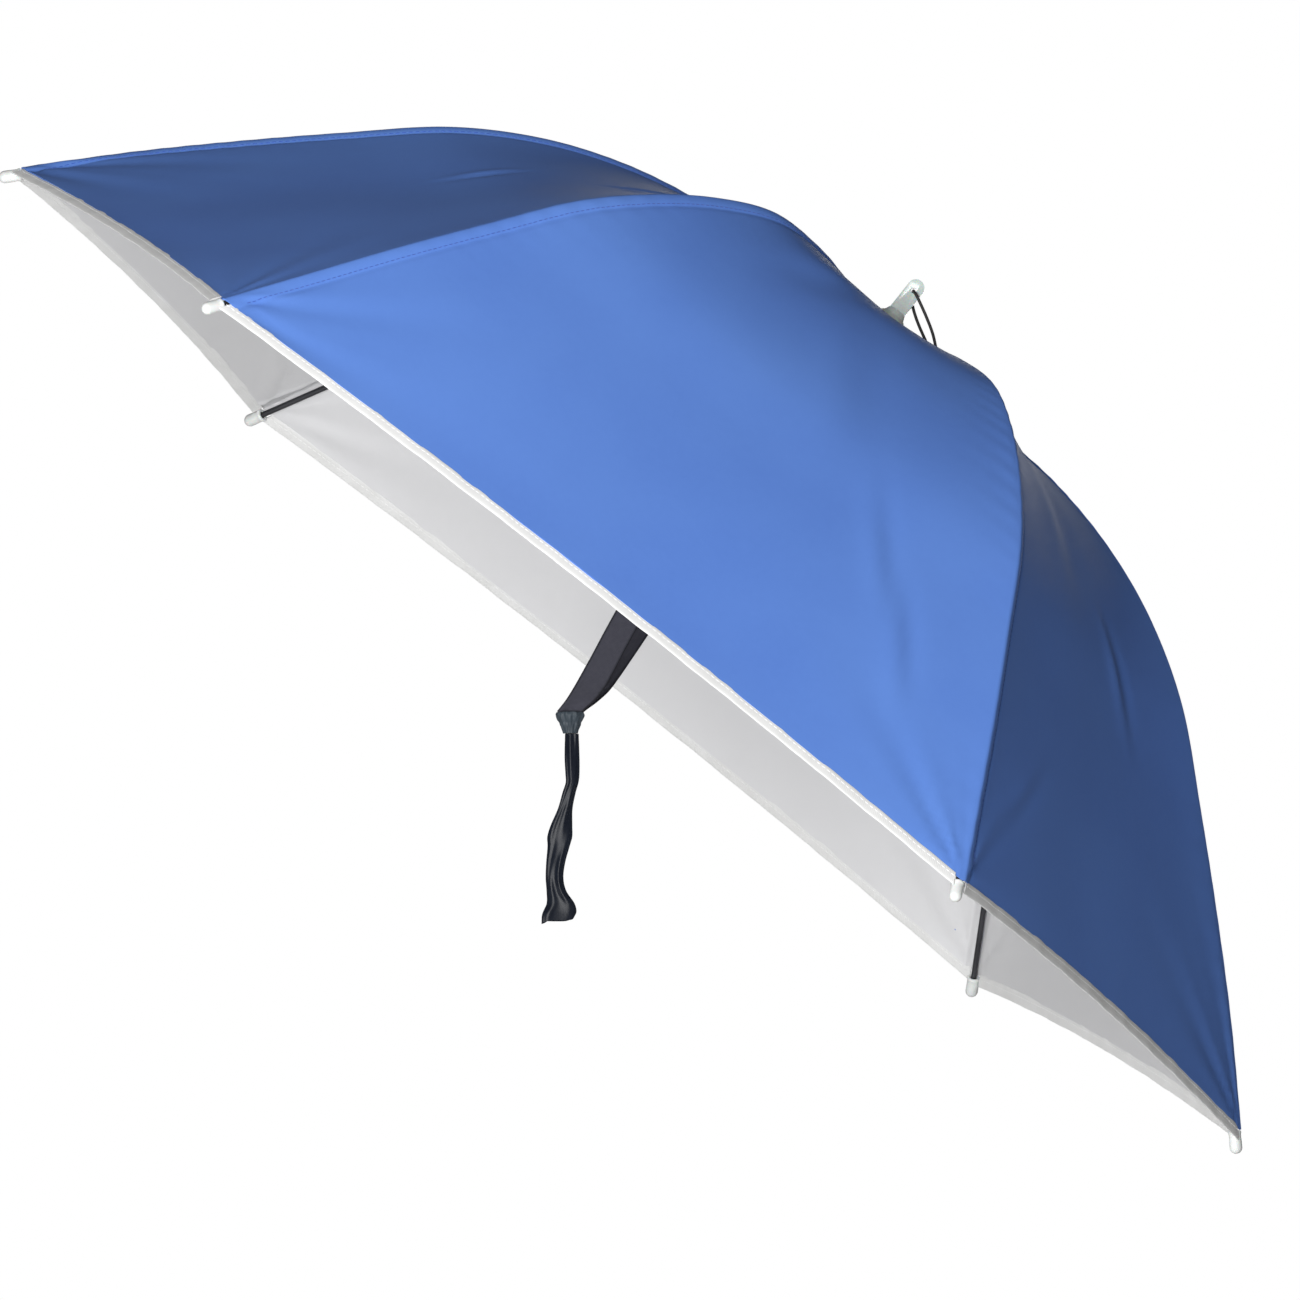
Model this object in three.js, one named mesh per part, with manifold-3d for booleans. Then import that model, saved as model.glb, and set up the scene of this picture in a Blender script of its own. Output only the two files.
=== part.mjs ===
// An umbrella hat: a six-gore folding canopy on curved ribs, carried on an elastic headband with a chin strap.
// Millimetres, +Z up as worn, the hat's front at -Y and its left at +X. The origin is the middle of the headband.
// The canopy and its frame are built upright in the hat's own frame, whose rim plane is z = 0, and are then
// tilted back as the hat is worn. The chin strap and its tail hang plumb, in the part's own frame.
import * as THREE from "three";
import { mergeVertices } from "three/addons/utils/BufferGeometryUtils.js";
import Module from "manifold-3d";

const wasm = await Module();
wasm.setup();

// Driving dimensions.
const TILT = THREE.MathUtils.degToRad(38.4); // how far the hat leans back on the head
const RIM_RADIUS = 407.5; // from the axis to the middle of a rib's tip cap
const CROWN_HEIGHT = 226.6; // from the rim plane to the cloth at the hub
const FRONT_RIB_ANGLE = 51.3; // degrees from the front rib to each front side rib
const BACK_RIB_ANGLE = 55.4; // degrees from the back rib to each back side rib
const BAND_HEIGHT = 122; // the headband's middle above the rim plane
const GAP = 0.3; // between pieces that touch

// Cloth.
const CLOTH = 1; // wall of the canopy cloth
const GORE_SAG = 7; // how far a gore dips inside the straight line from rib to rib
const HEM_BOW = 5; // how far the hem curves in, halfway between two ribs
const HEM_WIDTH = 4.5;
const HEM_WALL = 1.2;
const SEAM_GAP = 0.4; // between two gores over a rib

// Frame.
const RIB_DIAMETER = 3;
const CAP_DIAMETER = 6.6;
const CAP_LENGTH = 12;
const CAP_WALL = 2.6; // solid plastic beyond the rib's end
const HUB_DIAMETER = 34;
const HUB_THICKNESS = 11;
const HUB_CLEARANCE = 1.8; // the cloth dips this near the hub's edge between two ribs
const SLOT_DEPTH = 8; // how far each rib reaches into the hub
const STEM_DIAMETER = 8; // the finial's stem through the hub
const FINIAL_HEIGHT = 28; // from the cloth to the top of the finial
const FINIAL_WIDTH = 9;
const FINIAL_THICKNESS = 5;
const FLANGE_DIAMETER = 28;
const EYE_DIAMETER = 3; // the hole for the elastic loop
const EYE_DROP = 6.3; // from the finial's top to the middle of the eye
const ELASTIC_DIAMETER = 1.6;

// Headband and the legs that carry it.
const BAND_LENGTH = 200; // front to back, outside
const BAND_BREADTH = 165; // side to side, outside
const BAND_TALL = 30;
const BAND_WALL = 2;
const LEG_DIAMETER = 3.6;
const LEG_REACH = 150; // where a leg meets its rib, from the axis
const SADDLE_LENGTH = 12;
const SADDLE_WALL = 1.7;
const EAR_DROP = 1; // the saddle's ears end this far under the rib's middle
const PAD_WIDTH = 12;
const PAD_TALL = 22;
const PAD_WALL = 2;

// Chin strap.
const STRAP_WIDTH = 14.2;
const STRAP_WALL = 1.6;
const STRAP_FORWARD = 22; // the strap's seam in front of the band's middle
const STRAP_SEWN = 10; // how far the strap's end lies above the band's middle line
const STRAP_DRIFT = 4; // how far the strap comes back on its way down over the band
const GATHER_FORWARD = 102.5; // the slide under the chin, in front of the band's middle
const GATHER_DROP = 129; // and below it
const SLIDE_BREADTH = 11; // side to side
const SLIDE_DEPTH = 15; // front to back
const SLIDE_TALL = 11;
const TAIL_LENGTH = 97.5;
const TAIL_WIDTH = 19;

// The height of the cloth over a rib, by its reach from the axis. Reach is a share of RIM_RADIUS, and the
// heights are shares of CROWN_HEIGHT: ends for the front and back ribs, sides for the four side ribs.
const RIB_ROWS = [
  { reach: 0.03, ends: 0.985, sides: 0.985 },
  { reach: 0.1, ends: 0.968, sides: 0.992 },
  { reach: 0.2, ends: 0.946, sides: 1.006 },
  { reach: 0.3, ends: 0.932, sides: 0.996 },
  { reach: 0.4, ends: 0.893, sides: 0.932 },
  { reach: 0.5, ends: 0.822, sides: 0.836 },
  { reach: 0.6, ends: 0.711, sides: 0.71 },
  { reach: 0.7, ends: 0.551, sides: 0.54 },
  { reach: 0.8, ends: 0.384, sides: 0.366 },
  { reach: 0.9, ends: 0.209, sides: 0.183 },
  { reach: 1.0, ends: 0.02, sides: 0.0 },
];

// How much of GORE_SAG the cloth halfway between two ribs has, by the share of the rib's length.
const SAG_ROWS = [
  { along: 0.0, sag: 0.0 },
  { along: 0.25, sag: 0.86 },
  { along: 0.5, sag: 1.0 },
  { along: 0.75, sag: 0.7 },
  { along: 1.0, sag: 0.1 },
];

// The chin strap's path from its seam to the slide: forward and down are shares of the whole way in that
// direction, out the share of the seam's distance from the middle plane, and wide the share of STRAP_WIDTH.
const STRAP_ROWS = [
  { along: 0.0, forward: 0.0, down: 0.0, out: 1.0, wide: 1.0 },
  { along: 0.14, forward: 0.134, down: 0.14, out: 1.0, wide: 1.0 },
  { along: 0.36, forward: 0.34, down: 0.355, out: 0.94, wide: 1.0 },
  { along: 0.58, forward: 0.545, down: 0.57, out: 0.79, wide: 1.0 },
  { along: 0.77, forward: 0.722, down: 0.755, out: 0.55, wide: 1.0 },
  { along: 0.9, forward: 0.848, down: 0.885, out: 0.28, wide: 1.02 },
  { along: 0.96, forward: 0.93, down: 0.955, out: 0.11, wide: 1.03 },
  { along: 1.0, forward: 1.0, down: 1.0, out: 0.035, wide: 0.98 },
];

// The tail's sections: along is a share of TAIL_LENGTH, back the middle's place behind the slide as a share of
// TAIL_LENGTH, wide and deep its two widths as shares of TAIL_WIDTH, turn its twist in degrees.
const TAIL_ROWS = [
  { along: 0.0, back: 0.009, wide: 0.38, deep: 0.3, turn: 0 },
  { along: 0.13, back: 0.01, wide: 0.415, deep: 0.28, turn: 6 },
  { along: 0.22, back: 0.012, wide: 0.39, deep: 0.28, turn: 12 },
  { along: 0.26, back: 0.01, wide: 0.36, deep: 0.29, turn: 16 },
  { along: 0.31, back: -0.005, wide: 0.37, deep: 0.3, turn: 18 },
  { along: 0.4, back: -0.027, wide: 0.41, deep: 0.26, turn: 12 },
  { along: 0.49, back: -0.047, wide: 0.6, deep: 0.2, turn: 4 },
  { along: 0.55, back: -0.056, wide: 0.69, deep: 0.18, turn: 0 },
  { along: 0.6, back: -0.062, wide: 0.62, deep: 0.19, turn: -6 },
  { along: 0.69, back: -0.078, wide: 0.54, deep: 0.23, turn: -12 },
  { along: 0.77, back: -0.084, wide: 0.5, deep: 0.25, turn: -10 },
  { along: 0.84, back: -0.074, wide: 0.55, deep: 0.24, turn: -6 },
  { along: 0.91, back: -0.051, wide: 0.78, deep: 0.2, turn: 0 },
  { along: 0.96, back: -0.058, wide: 0.95, deep: 0.18, turn: 5 },
  { along: 1.0, back: -0.066, wide: 0.9, deep: 0.14, turn: 6 },
];

// The elastic loop's chosen route from the eye round and back into it, in the hat's frame: x to the left,
// y to the back, z up from the rim plane.
const LOOP_ROUTE = [
  [0.7, 0.0, 244.9],
  [2.6, 0.0, 244.9],
  [4.5, 0.6, 244.8],
  [6.0, 2.6, 244.0],
  [6.4, 6.0, 242.4],
  [6.6, 14.0, 238.2],
  [6.8, 22.0, 233.4],
  [7.0, 29.0, 227.8],
  [7.2, 35.0, 223.2],
  [7.4, 42.0, 220.9],
  [7.4, 50.0, 220.1],
  [6.6, 57.0, 219.8],
  [3.8, 61.6, 219.8],
  [0.0, 63.2, 219.9],
  [-3.8, 61.6, 219.8],
  [-6.6, 57.0, 219.8],
  [-7.4, 50.0, 220.1],
  [-7.4, 42.0, 220.9],
  [-7.2, 34.0, 222.4],
  [-7.0, 27.0, 225.6],
  [-6.8, 20.0, 229.3],
  [-6.6, 12.0, 233.6],
  [-6.6, 5.6, 237.8],
  [-6.6, 1.4, 241.6],
  [-5.4, -0.2, 244.2],
  [-3.0, 0.0, 244.9],
  [-0.7, 0.0, 244.9],
];

// Ribs round the canopy, by the angle from the back towards the hat's left.
const RIBS = [
  { name: "back", angle: 0, form: "ends" },
  { name: "back_left", angle: BACK_RIB_ANGLE, form: "sides" },
  { name: "front_left", angle: 180 - FRONT_RIB_ANGLE, form: "sides" },
  { name: "front", angle: 180, form: "ends" },
  { name: "front_right", angle: 180 + FRONT_RIB_ANGLE, form: "sides" },
  { name: "back_right", angle: 360 - BACK_RIB_ANGLE, form: "sides" },
];
const GORES = ["back_left", "left", "front_left", "front_right", "right", "back_right"];

// Finishes.
function finish(color, roughness, metalness = 0) {
  return () => new THREE.MeshStandardMaterial({ color, roughness, metalness });
}
const BLUE_CLOTH = finish(0x3f6cc8, 0.55);
const WHITE_CLOTH = finish(0xf0f0f0, 0.8);
const DARK_STEEL = finish(0x3a3c40, 0.4, 0.9);
const WHITE_PLASTIC = finish(0xf2f3f0, 0.35);
const CLEAR_PLASTIC = finish(0xe4e9e4, 0.3);
const BLACK_ELASTIC = finish(0x17181b, 0.8);
const CHARCOAL_TAPE = finish(0x42454e, 0.75);
const BLACK_RIBBON = finish(0x1e232d, 0.45);

const UP = new THREE.Vector3(0, 0, 1);
const LEFT = new THREE.Vector3(1, 0, 0);

// A named mesh with its own material.
function piece(name, geometry, material) {
  const mesh = new THREE.Mesh(geometry, material());
  mesh.name = name;
  return mesh;
}

// A closed geometry as a solid that can be cut and joined.
function solid(geometry) {
  const bare = geometry.clone();
  bare.deleteAttribute("normal");
  bare.deleteAttribute("uv");
  const merged = mergeVertices(bare, 1e-4);
  const vertProperties = new Float32Array(merged.attributes.position.array);
  const triVerts = new Uint32Array(merged.index.array);
  return new wasm.Manifold(new wasm.Mesh({ numProp: 3, vertProperties, triVerts }));
}

// A solid back as a geometry.
function geometryOf(made) {
  const mesh = made.getMesh();
  const geometry = new THREE.BufferGeometry();
  geometry.setAttribute("position", new THREE.BufferAttribute(new Float32Array(mesh.vertProperties), 3));
  geometry.setIndex(new THREE.BufferAttribute(new Uint32Array(mesh.triVerts), 1));
  geometry.computeVertexNormals();
  return geometry;
}

// The smooth value of a table's column at a share of the table's key column.
function tableAt(rows, key, column, share) {
  const last = rows.length - 2;
  let i = rows.findIndex((row) => row[key] > share) - 1;
  if (i < 0) i = share <= rows[0][key] ? 0 : last;
  i = Math.min(i, last);
  const at = (k) => rows[THREE.MathUtils.clamp(k, 0, last + 1)];
  const slope = (k) => (at(k + 1)[column] - at(k - 1)[column]) / (at(k + 1)[key] - at(k - 1)[key]);
  const span = rows[i + 1][key] - rows[i][key];
  const t = (share - rows[i][key]) / span;
  const startSlope = slope(i) * span;
  const endSlope = slope(i + 1) * span;
  const change = rows[i + 1][column] - rows[i][column];
  const bend = 3 * change - 2 * startSlope - endSlope;
  const twist = startSlope + endSlope - 2 * change;
  return rows[i][column] + startSlope * t + bend * t * t + twist * t * t * t;
}

// The cloth's outer surface over a rib, at a reach from the axis.
function ribTop(rib, reach) {
  const height = CROWN_HEIGHT * tableAt(RIB_ROWS, "reach", rib.form, reach / RIM_RADIUS);
  const angle = THREE.MathUtils.degToRad(rib.angle);
  return new THREE.Vector3(reach * Math.sin(angle), reach * Math.cos(angle), height);
}

// The frame on the rib's own line: out along it, up off the cloth, and across it.
const FRAME_STEP = 0.5;
function ribFrame(rib, reach) {
  const out = ribTop(rib, reach + FRAME_STEP).sub(ribTop(rib, reach - FRAME_STEP)).normalize();
  const angle = THREE.MathUtils.degToRad(rib.angle);
  const across = new THREE.Vector3(Math.cos(angle), -Math.sin(angle), 0);
  const up = new THREE.Vector3().crossVectors(across, out).normalize();
  return { out, up, across };
}

// How steeply the cloth falls away to the steeper side of a rib, in radians.
function ridgeFall(rib, reach) {
  const { up, across } = ribFrame(rib, reach);
  const top = ribTop(rib, reach);
  const place = RIBS.indexOf(rib);
  const falls = [place + 1, place + RIBS.length - 1].map((next) => {
    const chord = ribTop(RIBS[next % RIBS.length], reach).sub(top);
    const dip = Math.atan((4 * GORE_SAG) / chord.length());
    return Math.atan2(-chord.dot(up), Math.abs(chord.dot(across))) + dip;
  });
  return Math.max(...falls);
}

// The rib's own centreline, under the cloth that meets over it at an angle.
const RIB_DEPTH = CLOTH + GAP + RIB_DIAMETER / 2;
function ribCentre(rib, reach) {
  const depth = RIB_DEPTH / Math.cos(Math.min(ridgeFall(rib, reach), STEEPEST_FALL));
  return ribTop(rib, reach).addScaledVector(ribFrame(rib, reach).up, -depth);
}
const STEEPEST_FALL = THREE.MathUtils.degToRad(40);

// The reach of a gore's corner, so that the cap that follows it ends at the rim.
const CAP_RISE = CAP_LENGTH / 2;
const CORNER_REACH = RIM_RADIUS - CAP_RISE * Math.cos(Math.PI / 4) + RIB_DEPTH * Math.sin(Math.PI / 4);
const HUB_REACH = RIB_ROWS[0].reach * RIM_RADIUS;

// A point of the cloth between two ribs: across is 0 on the first and 1 on the second, and reach is measured
// along the ribs. It dips towards the inside halfway between them.
function gorePoint(first, second, across, reach) {
  const a = ribTop(first, reach);
  const b = ribTop(second, reach);
  const chord = new THREE.Vector3().subVectors(b, a);
  const outA = ribFrame(first, reach).out;
  const outB = ribFrame(second, reach).out;
  const inward = new THREE.Vector3().crossVectors(chord, outA.add(outB)).normalize();
  if (inward.z > 0) inward.negate();
  const along = (reach - HUB_REACH) / (CORNER_REACH - HUB_REACH);
  const sag = GORE_SAG * tableAt(SAG_ROWS, "along", "sag", THREE.MathUtils.clamp(along, 0, 1));
  return a.addScaledVector(chord, across).addScaledVector(inward, sag * 4 * across * (1 - across));
}

// A wall whose outer face is surface(across, along), both from 0 to 1, and whose thickness lies under it. At its
// two long edges the thickness follows seamUp(across, along), the direction of the mitred seam, where there is one.
function wall(surface, acrossSteps, alongSteps, thickness, seamUp) {
  const step = 1e-3;
  const outer = [];
  const inner = [];
  for (let i = 0; i <= alongSteps; i++) {
    for (let j = 0; j <= acrossSteps; j++) {
      const [v, u] = [j / acrossSteps, i / alongSteps];
      const point = surface(v, u);
      const right = surface(v + step, u).sub(surface(v - step, u));
      const down = surface(v, u + step).sub(surface(v, u - step));
      const normal = new THREE.Vector3().crossVectors(right, down).normalize();
      if (normal.z < 0) normal.negate();
      const mitred = seamUp && (j === 0 || j === acrossSteps);
      const way = mitred ? seamUp(v, u) : normal;
      outer.push(point);
      inner.push(point.clone().addScaledVector(way, -thickness / way.dot(normal)));
    }
  }
  return shell(outer, inner, acrossSteps, alongSteps);
}

// A closed geometry from two grids of points, one over the other.
function shell(outer, inner, columns, rows) {
  const points = [...outer, ...inner];
  const below = outer.length;
  const at = (row, column) => row * (columns + 1) + column;
  const index = [];
  const quad = (a, b, c, d) => index.push(a, b, c, a, c, d);
  for (let i = 0; i < rows; i++) {
    for (let j = 0; j < columns; j++) {
      const [a, b, c, d] = [at(i, j), at(i + 1, j), at(i + 1, j + 1), at(i, j + 1)];
      quad(a, b, c, d);
      quad(below + a, below + d, below + c, below + b);
    }
  }
  for (let i = 0; i < rows; i++) {
    quad(at(i, 0), below + at(i, 0), below + at(i + 1, 0), at(i + 1, 0));
    quad(at(i + 1, columns), below + at(i + 1, columns), below + at(i, columns), at(i, columns));
  }
  for (let j = 0; j < columns; j++) {
    quad(at(0, j + 1), below + at(0, j + 1), below + at(0, j), at(0, j));
    quad(at(rows, j), below + at(rows, j), below + at(rows, j + 1), at(rows, j + 1));
  }
  return closed(points, index);
}

// A geometry from points and an index, turned to face out.
function closed(points, index) {
  const geometry = new THREE.BufferGeometry().setFromPoints(points);
  let volume = 0;
  for (let i = 0; i < index.length; i += 3) {
    const [a, b, c] = [points[index[i]], points[index[i + 1]], points[index[i + 2]]];
    volume += a.dot(new THREE.Vector3().crossVectors(b, c));
  }
  geometry.setIndex(volume < 0 ? index.slice().reverse() : index);
  geometry.computeVertexNormals();
  return geometry;
}

// The share of the way across a gore that keeps a distance from its ribs.
function insetShare(first, second, reach, distance) {
  return distance / ribTop(first, reach).distanceTo(ribTop(second, reach));
}

// The reach of the hem: the corners lie at the tip caps, and it curves in between them.
function hemReach(across) {
  return CORNER_REACH - HEM_BOW * 4 * across * (1 - across);
}

const GORE_STEPS_ACROSS = 8;
const GORE_STEPS_ALONG = 16;
function gore(first, second) {
  const reachAt = (v, u) => HUB_REACH + u * (hemReach(v) - HUB_REACH);
  const surface = (v, u) => {
    const reach = reachAt(v, u);
    const inset = insetShare(first, second, reach, SEAM_GAP / 2);
    return gorePoint(first, second, inset + v * (1 - 2 * inset), reach);
  };
  const seamUp = (v, u) => ribFrame(v < 0.5 ? first : second, reachAt(v, u)).up;
  return wall(surface, GORE_STEPS_ACROSS, GORE_STEPS_ALONG, CLOTH, seamUp);
}

// The white binding that runs on from the gore's edge, from one tip cap to the next.
const HEM_STEPS = 12;
function hem(first, second) {
  const halfSpan = ribTop(first, CORNER_REACH).angleTo(ribTop(second, CORNER_REACH)) / 2;
  const clear = (CAP_DIAMETER / 2 + 2 * GAP) / Math.cos(halfSpan);
  const inset = insetShare(first, second, CORNER_REACH, clear);
  const surface = (v, u) => {
    const across = inset + v * (1 - 2 * inset);
    return gorePoint(first, second, across, hemReach(across) + GAP + u * HEM_WIDTH);
  };
  return wall(surface, HEM_STEPS, 1, HEM_WALL);
}

// A round rod along a list of points.
function rod(points, diameter, steps, sides) {
  const round = new THREE.Shape();
  for (let i = 0; i < sides; i++) {
    const angle = (2 * Math.PI * i) / sides;
    const [x, y] = [(diameter / 2) * Math.cos(angle), (diameter / 2) * Math.sin(angle)];
    if (i === 0) round.moveTo(x, y);
    else round.lineTo(x, y);
  }
  round.closePath();
  const path = new THREE.CatmullRomCurve3(points);
  return new THREE.ExtrudeGeometry(round, { steps, bevelEnabled: false, extrudePath: path, curveSegments: 1 });
}

// A turned solid round the axis that leaves base in the direction way. Rows are [radius, distance] pairs.
function turned(rows, base, way, sides) {
  const profile = rows.map(([radius, distance]) => new THREE.Vector2(radius, distance));
  const geometry = new THREE.LatheGeometry(profile, sides);
  const turn = new THREE.Quaternion().setFromUnitVectors(new THREE.Vector3(0, 1, 0), way);
  return geometry.applyQuaternion(turn).translate(base.x, base.y, base.z);
}

// Where a tip cap begins on its rib, and the way it points.
function capPlace(rib) {
  const { out } = ribFrame(rib, CORNER_REACH);
  return { base: ribCentre(rib, CORNER_REACH).addScaledVector(out, GAP), out };
}

// A rib bends where the faces of the cloth over it bend, so that it lies close under them all the way.
const RIB_INNER = HUB_DIAMETER / 2 - SLOT_DEPTH + 3 * GAP;
const RIB_SIDES = 8;
function rib(place) {
  const corners = oval(RIB_DIAMETER / 2, RIB_DIAMETER / 2, RIB_SIDES);
  const section = (middle, reach) => {
    const { up, across } = ribFrame(place, reach);
    return { middle, a: across, b: up, corners };
  };
  const sections = [section(ribCentre(place, RIB_INNER), RIB_INNER)];
  for (let i = 1; i <= GORE_STEPS_ALONG; i++) {
    const reach = HUB_REACH + (i / GORE_STEPS_ALONG) * (CORNER_REACH - HUB_REACH);
    sections.push(section(ribCentre(place, reach), reach));
  }
  const { base, out } = capPlace(place);
  sections.push(section(base.addScaledVector(out, CAP_LENGTH - CAP_WALL - 2 * GAP), CORNER_REACH));
  return loft(sections);
}

const CAP_SIDES = 12;
const CAP_ARC_STEPS = 4;
function tipCap(place) {
  const radius = CAP_DIAMETER / 2;
  const bore = RIB_DIAMETER / 2 + GAP;
  const bottom = CAP_LENGTH - CAP_WALL - GAP;
  const rows = [[0, bottom], [bore, bottom], [bore, 0], [radius - GAP, 0], [radius, 2 * GAP]];
  for (let i = 0; i <= CAP_ARC_STEPS; i++) {
    const angle = (Math.PI / 2) * (i / CAP_ARC_STEPS);
    const across = i === CAP_ARC_STEPS ? 0 : radius * Math.cos(angle);
    rows.push([across, CAP_LENGTH - radius + radius * Math.sin(angle)]);
  }
  const { base, out } = capPlace(place);
  return turned(rows, base, out, CAP_SIDES);
}

// The notched hub under the cloth, which holds the inner ends of the ribs.
const HUB_TOP = CROWN_HEIGHT * RIB_ROWS[0].ends - CLOTH - HUB_CLEARANCE;
const HUB_SIDES = 28;
const HUB_CHAMFER = 2;
function hub() {
  const radius = HUB_DIAMETER / 2;
  const bore = STEM_DIAMETER / 2 + GAP;
  const rows = [[bore, 0], [radius - HUB_CHAMFER, 0], [radius, HUB_CHAMFER], [radius, HUB_THICKNESS]];
  rows.push([bore, HUB_THICKNESS], [bore, 0]);
  const base = new THREE.Vector3(0, 0, HUB_TOP - HUB_THICKNESS);
  let made = solid(turned(rows, base, UP, HUB_SIDES));
  const width = RIB_DIAMETER + 2 * GAP;
  const floor = RIB_DIAMETER + 3 * GAP;
  for (const place of RIBS) {
    const slot = new THREE.BoxGeometry(width, SLOT_DEPTH * 2, floor * 2);
    slot.translate(0, radius, HUB_TOP);
    slot.rotateZ(THREE.MathUtils.degToRad(-place.angle));
    made = made.subtract(solid(slot));
  }
  return geometryOf(made);
}

// The finial: a flange on the cloth, a flat post with a round head and an eye, and a stem down through the hub.
const FINIAL_BASE = CROWN_HEIGHT * RIB_ROWS[0].sides + GAP;
const FLARE_ROWS = [
  { out: 1.0, up: 0.0 },
  { out: 1.0, up: 0.05 },
  { out: 0.62, up: 0.12 },
  { out: 0.42, up: 0.2 },
  { out: 0.33, up: 0.3 },
];
function finial() {
  const stem = STEM_DIAMETER / 2;
  const rows = [[0, GAP + HUB_CHAMFER - HUB_THICKNESS], [stem, GAP + HUB_CHAMFER - HUB_THICKNESS], [stem, 0]];
  for (const row of FLARE_ROWS) {
    rows.push([(row.out * FLANGE_DIAMETER) / 2, row.up * FINIAL_HEIGHT]);
  }
  rows.push([0, FLARE_ROWS.at(-1).up * FINIAL_HEIGHT]);
  const base = new THREE.Vector3(0, 0, FINIAL_BASE);
  const flange = solid(turned(rows, base, UP, HUB_SIDES));
  const half = FINIAL_WIDTH / 2;
  const post = new THREE.Shape();
  post.moveTo(-half, GAP);
  post.lineTo(half, GAP);
  post.lineTo(half, FINIAL_HEIGHT - half);
  post.absarc(0, FINIAL_HEIGHT - half, half, 0, Math.PI, false);
  post.closePath();
  const eye = new THREE.Path();
  eye.absarc(0, FINIAL_HEIGHT - EYE_DROP, EYE_DIAMETER / 2, 0, 2 * Math.PI, true);
  post.holes.push(eye);
  const plate = new THREE.ExtrudeGeometry(post, {
    depth: FINIAL_THICKNESS,
    bevelEnabled: false,
    curveSegments: 8,
  });
  plate.translate(0, 0, -FINIAL_THICKNESS / 2);
  plate.rotateX(Math.PI / 2).rotateZ(Math.PI / 2);
  plate.translate(0, 0, FINIAL_BASE);
  return geometryOf(flange.add(solid(plate)));
}

const LOOP_STEPS = 56;
function elasticLoop() {
  const points = LOOP_ROUTE.map(([x, y, z]) => new THREE.Vector3(x, y, z));
  return rod(points, ELASTIC_DIAMETER, LOOP_STEPS, 8);
}

// The headband's outline, outside or inside.
function bandOval(inset) {
  return new THREE.EllipseCurve(0, 0, BAND_BREADTH / 2 - inset, BAND_LENGTH / 2 - inset);
}
const BAND_SIDES = 48;
function headband() {
  const ring = new THREE.Shape(bandOval(0).getPoints(BAND_SIDES).slice(0, -1));
  ring.holes.push(new THREE.Path(bandOval(BAND_WALL).getPoints(BAND_SIDES).slice(0, -1).reverse()));
  const geometry = new THREE.ExtrudeGeometry(ring, { depth: BAND_TALL, bevelEnabled: false });
  return geometry.translate(0, 0, BAND_HEIGHT - BAND_TALL / 2);
}

// The headband's outer radius in the direction of a rib.
function bandRadius(angle) {
  const side = Math.sin(angle) / (BAND_BREADTH / 2);
  const end = Math.cos(angle) / (BAND_LENGTH / 2);
  return 1 / Math.hypot(side, end);
}

// A leg: a saddle under the rib, a bent rod, and a pad against the headband.
const LEG_STEPS = 8;
const LEG_SIDES = 8;
function leg(place) {
  const angle = THREE.MathUtils.degToRad(place.angle);
  const outward = new THREE.Vector3(Math.sin(angle), Math.cos(angle), 0);
  const { out, up, across } = ribFrame(place, LEG_REACH);
  const seat = ribCentre(place, LEG_REACH);
  const channel = RIB_DIAMETER / 2 + 2 * GAP;
  const breadth = 2 * (channel + SADDLE_WALL);
  const tall = channel + 2 * SADDLE_WALL - EAR_DROP;
  const basis = new THREE.Matrix4().makeBasis(across, out, up).setPosition(seat);
  const block = new THREE.BoxGeometry(breadth, SADDLE_LENGTH, tall).translate(0, 0, -EAR_DROP - tall / 2);
  const trough = new THREE.BoxGeometry(2 * channel, SADDLE_LENGTH * 2, 2 * channel);
  const saddle = solid(block.applyMatrix4(basis)).subtract(solid(trough.applyMatrix4(basis)));
  const radius = bandRadius(angle) + GAP + PAD_WALL / 2;
  const foot = outward.clone().multiplyScalar(radius + PAD_BOW).setZ(BAND_HEIGHT);
  const top = seat.clone().addScaledVector(up, SADDLE_WALL / 2 - EAR_DROP - tall);
  const end = foot.clone().addScaledVector(outward, (LEG_DIAMETER - PAD_WALL) / 2);
  const shin = end.clone().addScaledVector(UP, PAD_TALL / 2);
  const knee = top.clone().lerp(shin, 0.5).addScaledVector(outward, KNEE_OUT);
  const bar = solid(rod([top, knee, shin, end], LEG_DIAMETER, LEG_STEPS, LEG_SIDES));
  const pad = new THREE.BoxGeometry(PAD_WIDTH, PAD_WALL, PAD_TALL);
  pad.rotateZ(-angle + padTurn(angle)).translate(foot.x, foot.y, foot.z);
  return geometryOf(saddle.add(bar).add(solid(pad)));
}
const PAD_BOW = 0.5; // the band curves away under a flat pad
const KNEE_OUT = 12;

// How far the oval's outward normal turns from the line to its middle.
function padTurn(angle) {
  const x = Math.sin(angle) / (BAND_BREADTH / 2) ** 2;
  const y = Math.cos(angle) / (BAND_LENGTH / 2) ** 2;
  return angle - Math.atan2(x, y) - 2 * Math.PI * Math.round((angle - Math.atan2(x, y)) / (2 * Math.PI));
}

// The hat's frame in the part's frame, with the headband's middle at the origin.
const hat = new THREE.Group();
hat.rotation.x = -TILT;
hat.position.set(0, 0, -BAND_HEIGHT).applyEuler(hat.rotation);
hat.updateMatrix();
function fromHat(x, y, z) {
  return new THREE.Vector3(x, y, z).applyMatrix4(hat.matrix);
}

// The corners of an oval section with half widths a and b.
function oval(a, b, sides) {
  return Array.from({ length: sides }, (_, i) => {
    const angle = (2 * Math.PI * i) / sides;
    return [a * Math.cos(angle), b * Math.sin(angle)];
  });
}

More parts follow.
